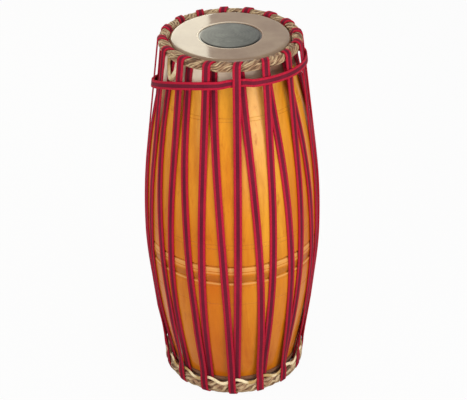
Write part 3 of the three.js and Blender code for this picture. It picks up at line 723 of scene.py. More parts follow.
class Nodes:
    """Adds shader nodes to a tree."""

    def __init__(self, tree):
        self.tree = tree

    def feed(self, socket, value):
        """Sets a socket to a value, or links it to the socket that feeds it."""
        if isinstance(value, bpy.types.NodeSocket):
            self.tree.links.new(value, socket)
        else:
            socket.default_value = value

    def add(self, kind, inputs=None, **settings):
        """Adds a node of a kind. Inputs are values or the sockets that feed them."""
        made = self.tree.nodes.new("ShaderNode" + kind)
        for key, value in settings.items():
            setattr(made, key, value)
        for key, value in (inputs or {}).items():
            self.feed(made.inputs[key], value)
        return made

    def sum_up(self, operation, first, second=0.0):
        """One step of arithmetic on two values."""
        return self.add("Math", {0: first, 1: second}, operation=operation).outputs[0]

    def plus(self, value, other, share):
        """A value, and a share of another."""
        return self.add("Math", {0: other, 1: share, 2: value}, operation="MULTIPLY_ADD").outputs[0]

    def stray(self, value, noise, amount):
        """A value that strays either way with the noise."""
        return self.plus(value, self.sum_up("SUBTRACT", noise, 0.5), amount)

    def ripple(self, value, spacing):
        """Waves from -1 to 1 along a value."""
        return self.sum_up("SINE", self.sum_up("MULTIPLY", value, FULL_TURN / spacing))

    def spread(self, value, low, high, to_low=0.0, to_high=1.0):
        """Maps a value from one range to another, kept inside it."""
        inputs = {"Value": value, "From Min": low, "From Max": high, "To Min": to_low, "To Max": to_high}
        return self.add("MapRange", inputs).outputs["Result"]

    def strip(self, value, begin, full, still, end):
        """Goes from 0 to 1 as the value goes from begin to full, and back to 0 from still to end."""
        return self.sum_up("MULTIPLY", self.spread(value, begin, full), self.spread(value, end, still))

    def mix(self, factor, first, second):
        """Mixes two colours, at the numbers of the node's colour sockets. A factor of 0 gives the first."""
        return self.add("Mix", {0: factor, 6: first, 7: second}, data_type="RGBA").outputs[2]

    def mix_shaders(self, factor, first, second):
        """Mixes two shaders. A factor of 0 gives the first."""
        return self.add("MixShader", {0: factor, 1: first, 2: second}).outputs[0]

    def clouds(self, where, scale, detail=3.0, roughness=0.55, distortion=0.0):
        """Noise over coordinates that are stretched by scale, in features for each metre."""
        stretched = self.add("Mapping", {"Vector": where, "Scale": scale}).outputs[0]
        inputs = {"Vector": stretched, "Scale": 1.0, "Detail": detail}
        inputs |= {"Roughness": roughness, "Distortion": distortion}
        return self.add("TexNoise", inputs).outputs["Fac"]

    def place(self):
        """Coordinates in metres, fixed to the piece."""
        return self.add("TexCoord").outputs["Object"]

    def parts(self, vector):
        """The three parts of a vector."""
        return self.add("SeparateXYZ", {0: vector}).outputs

    def surface(self):
        """The two surface coordinates, across and along."""
        return self.parts(self.add("UVMap", uv_map="surface").outputs[0])[:2]

    def tint(self):
        """The tint stored at each point."""
        return self.add("Attribute", attribute_name="tint").outputs["Fac"]

    def seen_rays(self):
        """1 for rays that show the surroundings: to the camera, mirrored, or through a clear piece."""
        path = self.add("LightPath").outputs
        seen = self.sum_up("MAXIMUM", path["Is Camera Ray"], path["Is Glossy Ray"])
        return self.sum_up("MAXIMUM", seen, path["Is Transmission Ray"])


class Finish(Nodes):
    """A material with one principled shader, whose tone is built up in layers."""

    def __init__(self, name, tone, **constants):
        self.material = bpy.data.materials.new(name)
        self.material.use_nodes = True
        super().__init__(self.material.node_tree)
        self.shader = self.tree.nodes["Principled BSDF"]
        self.tone = tone
        for key, value in constants.items():
            socket = key.replace("_", " ").title().replace("Ior", "IOR")
            self.shader.inputs[socket].default_value = value

    def cover(self, colour, share):
        """Lays a share of a colour over the tone."""
        self.tone = self.mix(share, self.tone, colour)

    def stain(self, colour, value, clear, full, share=1.0):
        """Lays a colour over the tone, from none where the value is clear up to a share where it is full."""
        self.cover(colour, self.spread(value, clear, full, 0, share))

    def finished(self, grain, depth, strength, roughness=None):
        """The material in its tone, with a grain from 0 to 1 raised as far as the given depth."""
        bump = self.add("Bump", {"Strength": strength, "Distance": depth, "Height": grain})
        self.feed(self.shader.inputs["Normal"], bump.outputs[0])
        self.feed(self.shader.inputs["Base Color"], self.tone)
        if roughness is not None:
            self.feed(self.shader.inputs["Roughness"], roughness)
        return self.material


def varnished_jackwood(shell):
    """Varnished amber jackwood with grain along the drum, wax and painted shade in the lines, painted light
    and shade.
    """
    varnish = {"specular_ior_level": 0.14, "coat_weight": 0.08, "coat_roughness": 0.14}
    wood = Finish("varnished_jackwood", shell.amber, **varnish)
    where = wood.place()
    side, _, height = wood.parts(where)
    tint = wood.tint()
    patches = wood.clouds(where, (9, 9, 5), 2.0)
    figure = wood.clouds(where, (26, 26, 4), 4.0, 0.6, 0.8)
    fibres = wood.clouds(where, (240, 240, 10), 5.0, 0.65)
    flecks = wood.clouds(where, (95, 95, 30), 3.0, 0.6, 0.3)
    # Painted light: paler wood towards the top, and on a strip at the right-hand front
    upper = wood.spread(height, 0.32, 0.54, 0, 0.8)
    right = wood.strip(side, -0.01, 0.06, 0.065, 0.1)
    right = wood.sum_up("MULTIPLY", right, wood.spread(height, 0.2, 0.3, 0, 0.9))
    pale = wood.sum_up("MAXIMUM", wood.spread(patches, 0.36, 0.66, 0, 0.42), upper)
    wood.cover(shell.honey, wood.sum_up("MAXIMUM", pale, right))
    # Painted highlight: a pale window at the upper right front
    highlight_window = wood.strip(side, 0, 0.02, 0.045, 0.07)
    highlight_window = wood.sum_up("MULTIPLY", highlight_window, wood.spread(height, 0.34, 0.48, 0, 0.34))
    wood.cover(shell.highlight_colour, highlight_window)
    # Painted shade: darker towards the bottom
    wood.stain(shell.russet, height, 0.22, 0.06, 0.35)
    wood.stain(shell.russet, figure, 0.5, 0.78, 0.75)
    wood.stain(shell.russet, fibres, 0.45, 0.8, 0.3)
    wood.stain(shell.russet, flecks, 0.6, 0.75, 0.55)
    # Tint above 0: wax and painted shade; below 0: painted light on the band's top and painted highlight on
    # the groove lips
    wood.stain(WAX_AND_SHADE, tint, 0, 1, 0.8)
    wood.stain(shell.highlight_colour, tint, 0, -1)
    return wood.finished(fibres, 0.12 * MM, 0.5, wood.spread(figure, 0.3, 0.8, 0.3, 0.42))


def glazed_hide(head):
    """Hide stretched and worn to a gloss, with faint clouds and pores, and a raw skirt under painted light
    and shade.
    """
    hide = Finish("glazed_hide", head.hide, ior=1.42)
    where = hide.place()
    side, _, height = hide.parts(where)
    tint = hide.tint()
    cloud = hide.clouds(where, (28, 28, 28), 4.0, 0.6)
    pores = hide.clouds(where, (900, 900, 900), 2.0)
    waves = hide.clouds(where, (16, 16, 16), 1.0)
    hide.stain(head.hide_pale, cloud, 0.35, 0.7)
    hide.stain(PORE, pores, 0.5, 0.8, 0.25)
    # Painted light and shade on skirts and hole edges: cream at the left, darker to the right and on the bass
    # end
    painted_shade_to_right = hide.spread(hide.stray(side, cloud, 0.08), -0.045, 0.065)
    painted_shade_share = hide.sum_up("MAXIMUM", painted_shade_to_right, hide.spread(height, 0.4, 0.2))
    on_skirt = hide.spread(tint, 0, 1)
    hide.cover(hide.mix(painted_shade_share, head.hide_raw, head.hide_shaded), on_skirt)
    hide.stain(head.hide_stained, tint, 0, -1)
    gloss = hide.spread(cloud, 0.3, 0.7, 0.045, 0.075)
    grain = hide.plus(waves, pores, 0.012)
    return hide.finished(grain, 0.6 * MM, 0.5, hide.plus(gloss, on_skirt, 0.4))


def tuning_paste(head):
    """Hardened black paste, rubbed on in rings and polished."""
    paste = Finish("tuning_paste", head.paste, specular_ior_level=0.3)
    where = paste.place()
    level = paste.add("VectorMath", {0: where, 1: (1.0, 1.0, 0.0)}, operation="MULTIPLY").outputs[0]
    out = paste.add("VectorMath", {0: level}, operation="LENGTH").outputs["Value"]
    uneven = paste.clouds(where, (48, 48, 48), 4.0, 0.6, 0.6)
    grit = paste.clouds(where, (700, 700, 700), 3.0, 0.7)
    rings = paste.ripple(paste.plus(out, uneven, 1.5 * MM), 5 * MM)
    paste.stain(PALE_PASTE, rings, -1, 1, 0.12)
    paste.stain(PALE_PASTE, uneven, 0.42, 0.7, 0.5)
    paste.stain(GRIT, grit, 0.4, 0.8, 0.3)
    paste.stain(PASTE_RIM, out, head.patch_radius - 5 * MM, head.patch_radius, 0.6)
    grain = paste.plus(paste.spread(rings, -1, 1, 0, 0.25), grit, 0.5)
    return paste.finished(grain, 0.12 * MM, 0.6, paste.spread(grit, 0.3, 0.8, 0.34, 0.5))


def plaited_hide(plait):
    """Twisted strips of hide, each in its own shade, with fibres along them, darker towards each strip's
    edges.
    """
    hide = Finish("plaited_hide", plait.tan, specular_ior_level=0.25)
    across, along = hide.surface()
    tint = hide.tint()
    run = hide.add("CombineXYZ", {0: across, 1: along, 2: tint}).outputs[0]
    fibres = hide.clouds(run, (3.5, 70, 30), 4.0, 0.65)
    blotches = hide.clouds(hide.place(), (130, 130, 130))
    shade = hide.stray(tint, blotches, 1.2)
    hide.stain(plait.straw, shade, 0.45, 0.95)
    hide.stain(plait.bark, shade, 0.4, 0.0, 0.85)
    hide.stain(plait.bark, fibres, 0.5, 0.75, 0.55)
    hide.stain(STRAND_EDGE_DARK, hide.sum_up("ABSOLUTE", across), 0.7, 1.0, 0.6)
    return hide.finished(fibres, 0.5 * MM, 0.8, hide.spread(blotches, 0.3, 0.7, 0.5, 0.75))


def striped_webbing(lacing):
    """Flat woven webbing: two crimson stripes beside a plum one, its yarns raised, and painted shade towards
    the bottom.
    """
    dull = {"roughness": 0.72, "sheen_weight": 0.02, "sheen_roughness": 0.5, "specular_ior_level": 0.05}
    cloth = Finish("striped_webbing", lacing.plum, **dull)
    across, along = cloth.surface()
    where = cloth.place()
    fuzz = cloth.clouds(where, (420, 420, 420))
    fade = cloth.clouds(where, (24, 24, 12))
    middle = cloth.sum_up("ABSOLUTE", across)
    cloth.stain(lacing.crimson, middle, lacing.stripe - 0.02, lacing.stripe + 0.02)
    cloth.stain(FADED, fade, 0.4, 0.75, 0.2)
    cloth.stain(DARK_YARN_AND_SHADE, fuzz, 0.45, 0.8, 0.35)
    # Painted shade: darker towards the bottom
    cloth.stain(DARK_YARN_AND_SHADE, cloth.parts(where)[2], 0.3, 0.05, 0.22)
    yarns = cloth.ripple(across, 1.1 * MM / (lacing.width / 2))
    weave = cloth.sum_up("MULTIPLY", yarns, cloth.ripple(along, 1.7 * MM))
    return cloth.finished(cloth.plus(cloth.spread(weave, -1, 1), fuzz, 0.6), 0.25 * MM, 0.6)


def pale_rawhide(thong):
    """Untanned hide thong: cream, olive where it has dried, with brown creases."""
    hide = Finish("pale_rawhide", thong.rawhide, ior=1.5, roughness=0.42)
    across, along = hide.surface()
    run = hide.add("CombineXYZ", {0: across, 1: along}).outputs[0]
    creases = hide.clouds(run, (2.5, 160, 1), 4.0, 0.6, 0.5)
    blotches = hide.clouds(hide.place(), (90, 90, 90))
    hide.stain(thong.olive, hide.stray(hide.tint(), blotches, 1.6), 0.2, 0.8)
    hide.stain(CREASE, creases, 0.52, 0.75, 0.5)
    return hide.finished(creases, 0.4 * MM, 0.7)


def pale_floor(stage):
    """A plain floor that looks white, and still takes part of the drum's shadow."""
    floor = Finish("pale_floor", stage.floor, base_color=stage.floor, roughness=0.9, specular_ior_level=0.0)
    lit = floor.shader.outputs[0]
    plain = floor.add("Emission", {"Color": WHITE, "Strength": 1.0}).outputs[0]
    shaded = floor.mix_shaders(1 - stage.floor_share, lit, plain)
    surface = floor.tree.nodes["Material Output"].inputs["Surface"]
    floor.feed(surface, floor.mix_shaders(floor.seen_rays(), lit, shaded))
    return floor.material


def dress(piece, body, slot, *nodes):
    """The piece stands for these solids, which are hidden, and moves with that body. The slot is not used."""
    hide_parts(*nodes)
    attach(piece, body)


def plans(context):
    """The settings in this scene, and the drum that follows from them."""
    settings = context.scene.mridangam
    return settings, Drum(settings)


class MakeShell(bpy.types.Operator):
    """Makes the turned wooden shell, with its grooves and fine lines"""

    bl_idname = "mridangam.make_shell"
    bl_label = "Make shell"

    # Fine lines, in millimetres above the belly and above the middle of the band
    BELLY_LINES = (-67, 35, 42, 235, 240)
    BAND_LINES = (-21, -2, 5)

    # Places below a groove's middle of its wax and painted shade and of its lip's painted highlight, with
    # their reach, in its widths
    WAX_AND_SHADE_PLACE = (-0.1, 0.25)
    LIP_PLACE = (0.5, 0.4)

    # Tints: wax and painted shade above 0, painted light and painted highlight below
    # Painted light on the band's upper half, painted shade on its lower half
    BAND_TOP_LIGHT = -0.3
    BAND_FOOT_SHADE = 0.4
    # Wax and painted shade in every cut, and more at the grooves' middles
    LINE_WAX_AND_SHADE = 0.3
    GROOVE_WAX_AND_SHADE = 0.8
    # Painted highlight on the lip below each groove
    LIP_HIGHLIGHT = -0.45

    BAND_SHADE = (-4 * MM, 5 * MM)  # below the band's middle, where it darkens
    CUT_SPAN = 0.7  # widths each side of a cut that have finer points

    def execute(self, context):
        settings, drum = plans(context)
        shell = settings.shell
        band = drum.belly - shell.band_drop
        edges = [band + side * shell.band_height / 2 for side in (LEFT, RIGHT)]
        grooves = [(edge, shell.groove_width, shell.groove_depth) for edge in edges]
        lines = [drum.belly + rise * MM for rise in self.BELLY_LINES]
        lines += [band + rise * MM for rise in self.BAND_LINES]
        cuts = grooves + [(height, shell.line_width, shell.line_depth) for height in lines]
        inside = {side: at_end(shell, side, "rim_radius") - shell.wall for side in (LEFT, RIGHT)}
        left, right = (drum.rim_curve(side, radius, 0)[0] for side, radius in inside.items())
        across = self.CUT_SPAN * np.linspace(-1, 1, CUT_POINTS)
        fine = [height + width * across for height, width, _ in cuts]
        coarse = np.arange(left[-1, 0, 1] + PROFILE_STEP, right[-1, 0, 1] - PROFILE_STEP, PROFILE_STEP)
        z = np.unique(np.concatenate([coarse, *fine]))
        depth, tint = self.turning(shell, band, cuts, z)
        bore_z = np.arange(right[0, 0, 1] - BORE_STEP, left[0, 0, 1] + 2 / 3 * BORE_STEP, -BORE_STEP)
        bore = np.stack([drum.radius(bore_z) - shell.wall, bore_z], axis=1)
        outline = np.concatenate([left, drum.side(z, -depth)[:, None], right[::-1], bore[:, None]])
        tint = np.concatenate([np.zeros(len(left)), tint, np.zeros(len(right) + len(bore))])
        made = Pieces().turned(outline, tint).make("jackwood_shell", varnished_jackwood(shell))
        dress(made, "drum", "wood", "shell")
        return {"FINISHED"}

    def turning(self, shell, band, cuts, z):
        """How deep the wood is turned at each height, and its tint of wax, painted light and painted shade.
        The first two cuts are the grooves.
        """
        from_band = np.abs(z - band) / (shell.band_height / 2)
        on_band = from_band < 1
        depth = np.where(on_band, shell.band_crown * from_band**2, 0)
        # Painted light on the band's top half, painted shade below its middle
        down_band = smoothstep(band - z, *self.BAND_SHADE)
        tint = on_band * carried(down_band, 0, 1, self.BAND_TOP_LIGHT, self.BAND_FOOT_SHADE)
        for height, width, cut in cuts:
            close = near(z, height, width / 2)
            depth = np.maximum(depth, cut * np.sin(close * math.pi / 2) ** 2)
            tint = np.where(close > 0, np.maximum(tint, self.LINE_WAX_AND_SHADE * close), tint)
        for height, width, _ in cuts[:2]:
            below = (height - z) / width
            # Wax and painted shade at the groove's middle
            core = near(below, *self.WAX_AND_SHADE_PLACE)
            lip = near(below, *self.LIP_PLACE)
            tint = np.where(core > 0, np.maximum(tint, self.GROOVE_WAX_AND_SHADE * core), tint)
            # Painted highlight on the lip below the groove
            tint = np.where(lip > 0, np.minimum(tint, 0) * (1 - lip) + self.LIP_HIGHLIGHT * lip, tint)
        return depth, tint


def girdle_height(drum, girdle, bearing):
    """Height of the girdle's middle line round the drum."""
    mean = drum.right_face - girdle.drop
    slope = girdle.front_rise * np.cos(bearing) + girdle.right_rise * np.sin(bearing)
    return mean + slope - girdle.wave * np.sin(2 * bearing)


class MakeSkins(bpy.types.Operator):
    """Makes the five skins of the two heads, drawn over the rims"""

    bl_idname = "mridangam.make_skins"
    bl_label = "Make skins"

    UNTRIMMED = 28 * MM  # at most, below the other treble skins
    SETTLING = 8 * MM  # in which the untrimmed skirt comes to lie on the shell

    def execute(self, context):
        settings, drum = plans(context)
        head = settings.head
        hide = glazed_hide(head)
        bare = head.patch_radius + head.patch_margin
        holes = {"right_inner_skin": head.right_inner_hole, "right_outer_skin": bare}
        holes["left_outer_skin"] = head.left_hole
        for side, skins in SKINS.items():
            low = CLEARANCE
            for name in (END_NAMES[side] + skin for skin in skins):
                skirt = at_end(head, side, "skirt")
                if name == "right_outer_skin":
                    skirt = skirt + self.untrimmed(drum, settings.girdle)
                thickness = getattr(head, name)
                pieces = self.skin(drum, side, holes.get(name, 0.0), skirt, low, thickness, bare)
                dress(pieces.make(name + "_hide", hide), "drum", "skin", name)
                low += thickness + CLEARANCE
        return {"FINISHED"}

    def skin(self, drum, side, hole, skirt, low, thickness, bare):
        """A skin that lies low above a rim. Its skirt and the edge of its hole are tinted 1, as raw hide with
        painted light and shade.

        The treble skin without a hole is tinted -1 as far out as it lies bare.
        """
        points, normals, on_side = drum.rim_curve(side, hole, skirt)
        lift = low
        if side == RIGHT:
            past_others = drum.right_rim - drum.head.right_skirt - points[..., 1:]
            lift = carried(smoothstep(past_others, 0, self.SETTLING), 0, 1, low, CLEARANCE)
        inner = points + normals * lift
        outer = points + normals * (lift + thickness)
        tint = np.zeros(len(points))
        tint[-on_side:] = 1
        if hole > 0:
            outer[0, :, 0] += thickness / 2
            tint[0] = 1
        elif side == RIGHT:
            tint[points[:, 0, 0] < bare] = -1
        return Pieces().turned(np.concatenate([inner, outer[::-1]]), [*tint, *tint[::-1]])

    def untrimmed(self, drum, girdle):
        """How much further the treble head's outer skin comes down at each bearing, to the girdle at most."""
        bearing = ring_angles(TURNED_SEGMENTS)
        random = np.random.default_rng(SEED)
        spare = drum.right_rim - drum.head.right_skirt - girdle_height(drum, girdle, bearing)
        return np.clip(spare, 0, self.UNTRIMMED) + MM * np.abs(waver(random, bearing, 1.0))


class MakePatch(bpy.types.Operator):
    """Makes the round tuning patch on the treble head"""

    bl_idname = "mridangam.make_patch"
    bl_label = "Make patch"

    TOP_SHARE = 0.985  # of the patch's radius, where its edge is already rounded off

    def execute(self, context):
        settings, drum = plans(context)
        head = settings.head
        base = drum.right_face - head.right_outer_skin
        share = np.linspace(self.TOP_SHARE, 0, PATCH_POINTS)
        rise = carried(share**2, 0, 1, head.patch_crown, head.patch_edge)
        top = np.stack([head.patch_radius * share, base + rise], axis=1)
        rim = [[0.0, base], [head.patch_radius, base], [head.patch_radius, base + head.patch_edge / 2]]
        outline = np.concatenate([rim, top])[:, None]
        made = Pieces().turned(outline).make("tuning_patch_paste", tuning_paste(head))
        dress(made, "drum", "patch", "tuning_patch")
        return {"FINISHED"}


class Plait:
    """The plaited hoop at one end of the drum: strands that turn about a plain core."""

    LAP = 1.12  # how far neighbouring strands lap, as a share of their spacing
    CORE_INSET = 0.45  # of a strand's thickness
    CORE_TINT = 0.1
    SQUEEZE = math.radians(3)  # turn in which the plait swells beside a strap
    DRIFT = 0.3  # angle by which a strand strays round the section
    UNEVEN = 0.16  # share by which a strand's thickness strays
    SHADES = (0.1, 0.9)
    SHADE_DRIFT = 0.3
    # Paleness of the strands: bass all round, treble at the back, painted light at the treble's left, painted
    # shade at its right
    BASS_BLEACH = 0.22
    BACK_PALER = 0.15
    SIDE_PAINTED_LIGHT = 0.14

    def __init__(self, drum, settings, side):
        lacing = drum.lacing
        spans = {RIGHT: (lacing.top_out, lacing.top_in), LEFT: (lacing.bottom_out, lacing.bottom_in)}
        self.span = spans[side]
        self.drum = drum
        self.settings = settings
        self.side = side
        self.hoop = at_end(drum, side, "hoop")

    def section(self, bearing, angle, inset, margin):
        """Points of the section, drawn in by inset: swollen between the straps, and flat beneath them.

        They stay at least a margin away from the skins.
        """
        hoop, lacing, pitch = self.hoop, self.drum.lacing, self.drum.pitch
        across, up = hoop.shares(angle)
        strap = carried(across, 1, -1, *self.span)
        laid = bearing - lacing.crowding * np.sin(bearing)  # undoes settled, near enough
        apart = np.abs((laid - strap + pitch / 2) % pitch - pitch / 2)
        half_strap = lacing.width / 2 / hoop.radius
        free = smoothstep(apart, half_strap, half_strap + self.SQUEEZE)
        inward, bulge = 0.0, self.settings.bulge
        if self.side == RIGHT:
            inward = self.settings.inward
            bulge = bulge * (1 + np.cos(bearing)) / 2
        swell = np.where(across > 0, bulge, inward) * free
        radius = hoop.radius + (hoop.width / 2 - inset + swell) * across
        swell = np.where(up > 0, bulge, 0) * free
        height = hoop.z + (hoop.height / 2 - inset + swell) * up
        return self.drum.outside_skins(self.side, np.stack([radius, height], axis=-1), margin)

    def paleness(self, bearing):
        """How much paler the strands are: bass all round, treble at the back, with painted light at its left
        and painted shade at its right.
        """
        if self.side == LEFT:
            return self.BASS_BLEACH
        return self.BACK_PALER * (1 - np.cos(bearing)) - self.SIDE_PAINTED_LIGHT * np.sin(bearing)

    def pieces(self):
        """The core and its strands."""
        hoop = self.hoop
        strands = at_end(self.settings, self.side, "strands")
        turns = at_end(self.settings, self.side, "turns")
        thick = at_end(self.settings, self.side, "strand")
        random = np.random.default_rng(SEED + self.side)
        bearing = ring_angles(self.drum.lacing.loops * STRAND_STATIONS)
        perimeter = math.pi * (hoop.width + hoop.height) / 2
        run = FULL_TURN * hoop.radius / turns
        wide = perimeter / strands * run / math.hypot(run, perimeter) * self.LAP
        buried = self.CORE_INSET * thick
        core = self.section(bearing[:, None], ring_angles(CORE_SIDES), buried, buried)
        pieces = Pieces().add(place(core, bearing[:, None]), ring_rows=True, tint=self.CORE_TINT)
        for strand in range(strands):
            drift = waver(random, bearing, self.DRIFT)
            around = FULL_TURN * strand / strands + turns * bearing + drift
            uneven = 1 + waver(random, bearing, self.UNEVEN)
            margin = max(wide, thick) / 2 * uneven + CLEARANCE
            middle = place(self.section(bearing, around, thick / 2 * uneven, margin), bearing)
            outward = middle - place([hoop.radius, hoop.z], bearing)
            shade = random.uniform(*self.SHADES) + waver(random, bearing, self.SHADE_DRIFT)
            tint = (shade + self.paleness(bearing))[:, None]
            pieces.tube(middle, outward, (wide * uneven, thick), closed=True, tint=tint)
        return pieces


class MakePlaits(bpy.types.Operator):
    """Makes the two plaited hoops out of twisted strands, squeezed where the straps cross them"""

    bl_idname = "mridangam.make_plaits"
    bl_label = "Make plaits"

    def execute(self, context):
        settings, drum = plans(context)
        finish = plaited_hide(settings.plait)
        for side, name in ((RIGHT, "right_hoop"), (LEFT, "left_hoop")):
            made = Plait(drum, settings.plait, side).pieces().make(name + "_plait", finish)
            dress(made, name, "plait", name)
        return {"FINISHED"}


class MakeLacing(bpy.types.Operator):
    """Makes the lacing as loops over the right hoop and loops under the left one"""

    bl_idname = "mridangam.make_lacing"
    bl_label = "Make lacing"

    RAMP = 60 * MM  # length in which a strap begins to follow its hoop
    FREE_ROOM = 5 * MM  # space beneath a strap at which it hangs quite free
    FREE_RISE = 20 * MM  # height above the left hoop at which it hangs quite free

    def execute(self, context):
        settings, drum = plans(context)
        lacing = settings.lacing
        webbing = striped_webbing(lacing)
        upper = self.upper_loop(drum)
        lower = self.lower_loop(drum)
        for loop in range(lacing.loops):
            node = f"lacing_{loop + 1:02d}"
            before = f"lacing_{(loop - 1) % lacing.loops + 1:02d}"
            top = self.strap(upper, drum, loop, f"strap_over_{loop + 1:02d}", webbing)
            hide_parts(node)
            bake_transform(top)
            bottom = self.strap(lower, drum, loop, f"strap_under_{loop + 1:02d}", webbing)
            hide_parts(before, node)
            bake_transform(bottom)
        return {"FINISHED"}

    def strap(self, path, drum, loop, name, webbing):
        """One loop of the lacing, turned to its place round the drum."""
        lacing = drum.lacing
        radius, height, bearing, loose = path.T
        bearing = drum.settled(bearing + loop * drum.pitch)
        placed = np.stack([radius - lacing.sag * loose, height, bearing], axis=1)
        twist = -lacing.twist * loose * np.sin(bearing)
        made = Pieces().band(placed, lacing, twist=twist).make(name, webbing)
        return made

    def upper_loop(self, drum):
        """Path up the straight run, over the right hoop and down the slanting run, held all along."""
        lacing = drum.lacing
        straight = part_of(drum.straight_run, lacing.split, RIGHT)
        slant = part_of(drum.slant_run, lacing.split, RIGHT)[::-1]
        over = drum.right_hoop.point(np.linspace(0, math.pi, LOOP_POINTS)[1:-1], drum.reach)
        out, inside = drum.straight_high[0], drum.slant_high[0]
        over_bearing = carried(over[:, 0], out, inside, lacing.top_out, lacing.top_in)
        bearings = [drum.straight_bearing(straight[:, 1]), over_bearing, drum.slant_bearing(slant[:, 1])]
        line = np.concatenate([straight, over, slant])
        return np.column_stack([line, np.concatenate(bearings), np.zeros(len(line))])

    def lower_loop(self, drum):
        """Path down the last slanting run, under the left hoop and up the straight run.

        Its last column is 1 where the slanting run hangs free, to turn and sag, and 0 where it is held.
        """
        lacing, hoop = drum.lacing, drum.left_hoop
        slant = part_of(drum.slant_run, lacing.split, LEFT)[::-1]
        straight = part_of(drum.straight_run, lacing.split, LEFT)
        angle = np.linspace(0, math.pi, LOOP_POINTS)[1:-1]
        under = hoop.point(-angle, drum.reach)
        out, inside = drum.slant_low[0], drum.straight_low[0]
        draw_in = inside - hoop.point(math.pi, drum.reach)[0]
        under[:, 0] += draw_in * smoothstep(angle, math.pi / 2, math.pi)
        under_bearing = carried(under[:, 0], out, inside, lacing.bottom_out, lacing.bottom_in)
        slant_bearing = drum.slant_bearing(slant[:, 1]) - drum.pitch
        bearings = [slant_bearing, under_bearing, drum.straight_bearing(straight[:, 1])]
        room = slant[:, 0] - drum.lay_radius(slant[:, 1]) - lacing.thickness - CLEARANCE
        hoop_top = hoop.z + hoop.height / 2
        above_hoop = smoothstep(slant[:, 1], hoop_top, hoop_top + self.FREE_RISE)
        loose = np.clip(room / self.FREE_ROOM, 0, 1) * above_hoop
        line = np.concatenate([slant, under, straight])
        loose = np.concatenate([loose, np.zeros(len(line) - len(slant))])
        return np.column_stack([line, np.concatenate(bearings), loose])


class MakeGirdle(bpy.types.Operator):
    """Makes the slanting band round the lacing, tucked under the front strap and lapped at the back"""

    bl_idname = "mridangam.make_girdle"
    bl_label = "Make girdle"

    def execute(self, context):
        settings, drum = plans(context)
        girdle = settings.girdle
        lacing = settings.lacing
        gone = np.linspace(0, FULL_TURN + girdle.lap, GIRDLE_POINTS)
        bearing = girdle.seam + gone
        z = girdle_height(drum, girdle, bearing)
        layer = lacing.thickness + GIRDLE_CLEARANCE
        from_front = np.abs(bearing - FULL_TURN - drum.settled(drum.straight_bearing(z)))
        clear = smoothstep(from_front, girdle.tuck_flat, girdle.tuck_flat + girdle.tuck_ramp)
        lapped = 1 - smoothstep(FULL_TURN - gone, 0, girdle.ramp)
        radius = radius_at(drum.straight_run, z) + layer * (2 * clear - 1 + lapped)
        half = lacing.width / 2
        lean = radius_at(drum.straight_run, z - half) - radius_at(drum.straight_run, z + half)
        faces = unit(np.stack([np.full_like(lean, lacing.width), lean], axis=1))
        pieces = Pieces().band(np.stack([radius, z, bearing], axis=1), lacing, faces)
        made = pieces.make("girdle_webbing", striped_webbing(lacing))
        dress(made, "drum", "webbing", "girdle")
        return {"FINISHED"}


class MakeThongs(bpy.types.Operator):
    """Makes the rawhide thongs at the two hoops"""

    bl_idname = "mridangam.make_thongs"
    bl_label = "Make thongs"

    # Tints: how far the thongs are dried
    LEFT_DRIED = 0.35
    LEFT_STRAY = 0.5
    TAIL_DRIED = (0.9, 0.0)

    TAIL_CURVE = 1.3  # 1 is a sharp V, and 2 a round bend

    def execute(self, context):
        settings, drum = plans(context)
        thong = settings.thong
        rawhide = pale_rawhide(thong)
        random = np.random.default_rng(SEED)
        left = self.left_line(drum, thong, random)
        left_sizes = (thong.width, thong.thickness)
        left_dried = waver(random, np.linspace(0, FULL_TURN, len(left)), self.LEFT_STRAY) + self.LEFT_DRIED
        tail = self.right_line(drum, thong)
        tail_sizes = (thong.tail_width, thong.tail_thickness)
        tail_dried = np.linspace(*self.TAIL_DRIED, len(tail))
        for end, points, sizes, closed, dried in (
            ("left_", left, left_sizes, True, left_dried),
            ("right_", tail, tail_sizes, False, tail_dried),
        ):
            outward = points * np.array([1.0, 1.0, 0.0])
            pieces = Pieces().tube(points, outward, sizes, closed, dried[:, None])
            dress(pieces.make(end + "thong_rawhide", rawhide), end + "hoop", "rawhide", end + "thong")
        return {"FINISHED"}

    def left_line(self, drum, thong, random):
        """A wave round the top of the left hoop, with its crests behind the slanting straps."""
        hoop = drum.left_hoop
        crest_z = hoop.z + thong.left_rise
        strap = radius_at(drum.straight_run, crest_z + HOOP_TRAVEL + thong.round) + drum.lacing.thickness / 2
        crest = np.array([strap + 2 * CLEARANCE + thong.round, crest_z])
        dip = hoop.point(thong.left_lean, CLEARANCE + thong.round)
        turns = ring_angles(drum.lacing.loops * WAVE_POINTS)
        share = 0.5 + 0.5 * np.cos(turns * drum.lacing.loops)
        line = dip + (crest - dip) * share[:, None]
        line[:, 1] += np.abs(waver(random, turns, thong.uneven))
        return place(line, drum.settled(drum.lacing.bottom_in + turns))

    def right_line(self, drum, thong):
        """A tail that hangs in a V below the right hoop, with a rounded foot."""
        hoop = drum.right_hoop
        top = hoop.z - hoop.height / 2 - CLEARANCE - thong.round / 2
        low = top - thong.tail_drop
        strap = radius_at(drum.slant_run, low - HOOP_TRAVEL) + drum.lacing.thickness / 2
        low_radius = strap + 2 * CLEARANCE + 2 * thong.round
        share = np.linspace(-1, 1, TAIL_POINTS)
        fall = 1 - np.abs(share) ** self.TAIL_CURVE
        radius = carried(fall, 0, 1, hoop.radius, low_radius)
        line = np.stack([radius, top - thong.tail_drop * fall], axis=1)
        return place(line, thong.tail_bearing + thong.tail_spread * share)


